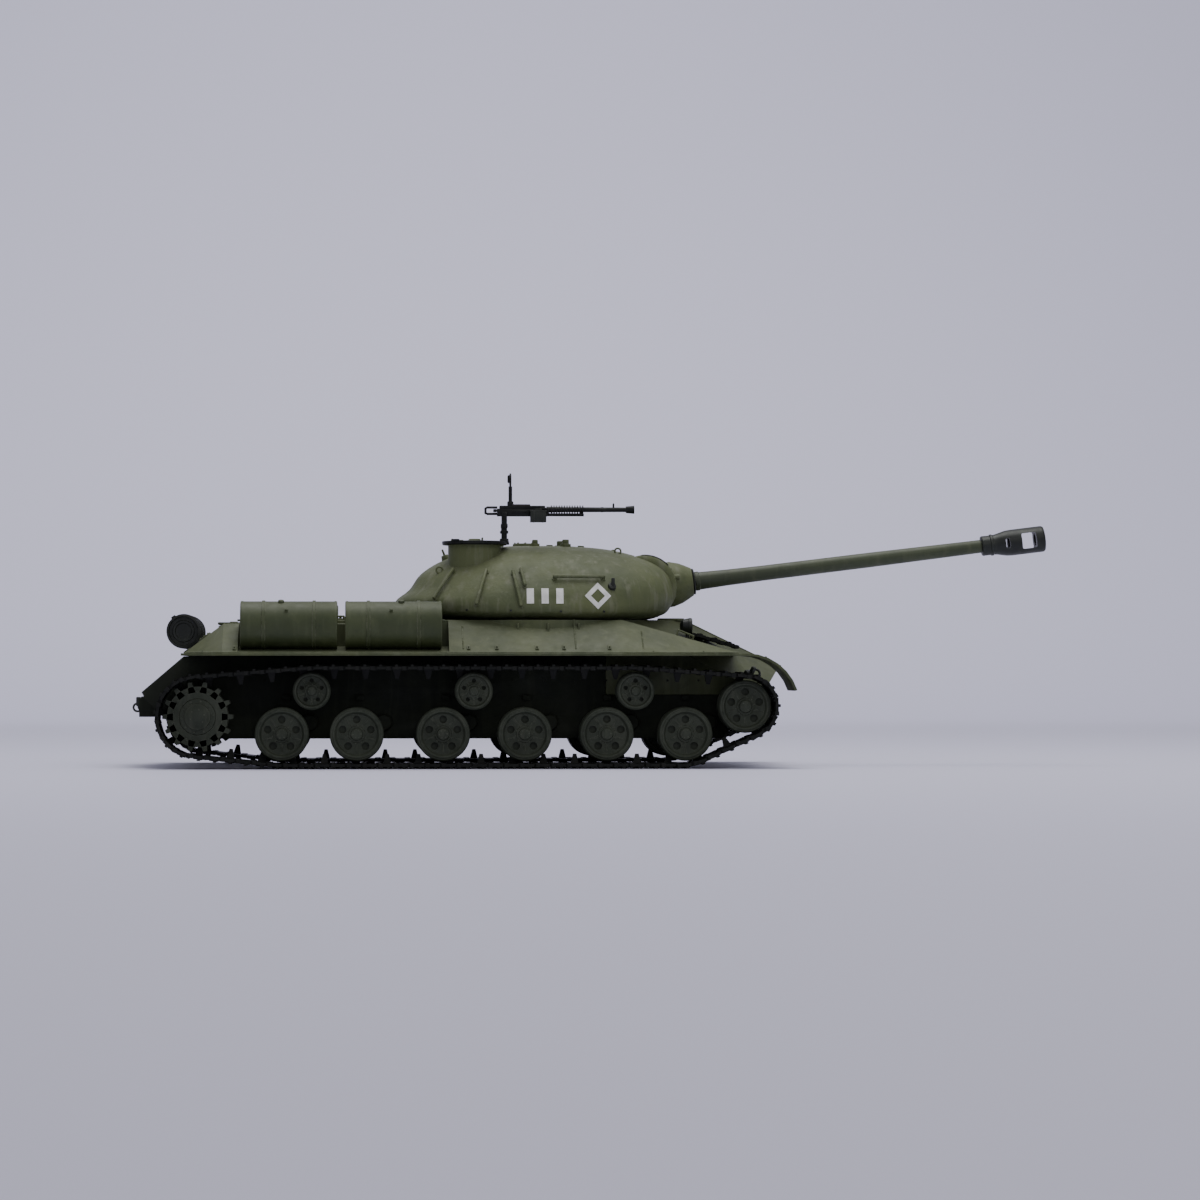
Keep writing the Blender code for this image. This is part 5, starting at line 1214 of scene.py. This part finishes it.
addPiece(bm, "headlight_lens", lampGlass, "hull", (), 32)

bm = bmesh.new()                                         # driver's hatch: a pin
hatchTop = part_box("driver_hatch")[1].z
addRod(bm, hullSpot(0.1300, 0.0070, hatchTop - 0.0010), hullSpot(0.1300, 0.0070, hatchTop + 0.0001),
        0.0013, sides=18)
addPiece(bm, "driver_hatch_pin", hullPaint, "driver_hatch")
bm = bmesh.new()
for side in (1, -1):
    for x, y in ((0.1180, 0.0300), (0.1060, 0.0420)):
        point, normal = onHullTop(x, side * y)
        addBolt(bm, point, normal, 0.0008, 0.0007)
    point, normal = onHullTop(0.1460, side * 0.0560)
    if point:
        addPipe(bm, [point - normal * 0.0004, point + normal * 0.0028,
                point + normal * 0.0028 + Vector((-0.0100, 0, 0.0040)),
                     onHullTop(0.1360, side * 0.0560)[0] - normal * 0.0004], 0.0006)
addPiece(bm, "nose_fittings", hullPaint, "hull")

# bump stops, mud scrapers and belly bolts by the wheels
bm = bmesh.new()
for side in (1, -1):
    for n in range(1, wheelCount + 1):
        x = nodeMiddle(f"left_swing_arm_{n}").x + 0.0085
        addRod(bm, (x, side * 0.0538, 0.0290), (x, side * 0.0562, 0.0290), 0.0058, 0.0050, sides=24,
                soft=0.0004)
        addBlock(bm, (0.0050, 0.0040, 0.0034), (x - 0.0150, side * 0.0555, 0.0450), soft=0.0006)
    for n in range(16):
        addBolt(bm, (hullSpot(-0.150 + n * 0.020, 0, 0).x, side * 0.0540, 0.0560), (0, side, 0), 0.0008,
                0.0007)
for x in (-0.1300, -0.0900, -0.0300, 0.0300, 0.0900):
    addRod(bm, hullSpot(x, 0.0160, 0.0180), hullSpot(x, 0.0160, 0.0190), 0.0060, sides=28, soft=0.0003)
# these fittings take the near-black colour, which holds painted shade
addPiece(bm, "suspension_fittings", tubPaintAndShade, "hull")
print("deck, nose and tail fitted out")


# floor, light and camera
floorLook = {"colour": (0.66, 0.65, 0.78), "size": 14.0, "wallAt": 5.0}
floorPaint = bpy.data.materials.new("floorPaint")
floorPaint.use_nodes = True
floorTree = floorPaint.node_tree
floorTone = mixOf(floorTree,
        noiseOf(floorTree, floorTree.nodes.new("ShaderNodeTexCoord").outputs["Object"], 0.6, 2.0),
                  tuple(c * 0.985 for c in floorLook["colour"]), floorLook["colour"])
link(floorTree, floorTone, floorTree.nodes["Principled BSDF"].inputs["Base Color"])
floorTree.nodes["Principled BSDF"].inputs["Roughness"].default_value = 0.65
floorTree.nodes["Principled BSDF"].inputs["Specular IOR Level"].default_value = 0.15
bm = bmesh.new()
bmesh.ops.create_grid(bm, x_segments=1, y_segments=1, size=floorLook["size"] / 2)
wallEdge = [e for e in bm.edges if all(v.co.y > 0 for v in e.verts)]
for v in {v for e in wallEdge for v in e.verts}:
    v.co.y = floorLook["wallAt"]
lifted = bmesh.ops.extrude_edge_only(bm, edges=wallEdge)["geom"]
bmesh.ops.translate(bm, vec=(0, 0, 5.0), verts=[v for v in lifted if isinstance(v, bmesh.types.BMVert)])
fold = [e for e in bm.edges if len(e.link_faces) == 2]
bmesh.ops.bevel(bm, geom=fold, offset=2.5, segments=24, profile=0.5, affect="EDGES", material=-1)
bmesh.ops.recalc_face_normals(bm, faces=bm.faces)
for face in bm.faces:
    if face.normal.z < -0.1 or face.normal.y > 0.1:
        face.normal_flip()
floorMesh = bpy.data.meshes.new("studioFloor")
bm.to_mesh(floorMesh)
bm.free()
floorMesh.shade_smooth()
floorMesh.materials.append(floorPaint)
studioFloor = bpy.data.objects.new("studioFloor", floorMesh)
bpy.context.scene.collection.objects.link(studioFloor)


def addLamp(name, at, aim, size, power, colour=(1, 1, 1)):
    lamp = bpy.data.lights.new(name, "AREA")
    lamp.shape, lamp.size, lamp.size_y = "RECTANGLE", size[0], size[1]
    lamp.energy, lamp.color = power, colour
    made = bpy.data.objects.new(name, lamp)
    bpy.context.scene.collection.objects.link(made)
    made.location = at
    made.rotation_euler = (Vector(aim) - Vector(at)).to_track_quat("-Z", "Y").to_euler()
    return made


addLamp("topSoftbox", (0.10, 0.10, 1.9), (0, 0, 0.05), (1.6, 1.2), 26.0)
addLamp("frontFill", (0.6, -2.4, 1.5), (0, 0, 0.08), (1.8, 1.0), 9.0, (1.0, 0.98, 0.95))
addLamp("backWash", (0.0, 2.6, 2.2), (0, 4.4, 0.6), (3.0, 1.0), 40.0, (0.98, 0.98, 1.0))
world = bpy.data.worlds.new("paleRoom")
bpy.context.scene.world = world
world.use_nodes = True
world.node_tree.nodes["Background"].inputs["Color"].default_value = (0.80, 0.80, 0.88, 1)
world.node_tree.nodes["Background"].inputs["Strength"].default_value = 0.55

cameraLook = {"lens": 121.0, "eye": (0.002 - 2.66 * math.sin(math.radians(3.5)),
        -2.66 * math.cos(math.radians(3.5)), 0.062),
              "aim": (0.002, 0.0, 0.109)}
camera = bpy.data.objects.new("camera", bpy.data.cameras.new("camera"))
bpy.context.scene.collection.objects.link(camera)
camera.data.lens, camera.data.sensor_width = cameraLook["lens"], 36.0
camera.location = cameraLook["eye"]
camera.rotation_euler = (Vector(cameraLook["aim"]) - Vector(cameraLook["eye"])).to_track_quat("-Z",
        "Y").to_euler()
bpy.context.scene.camera = camera
print("studio ready")
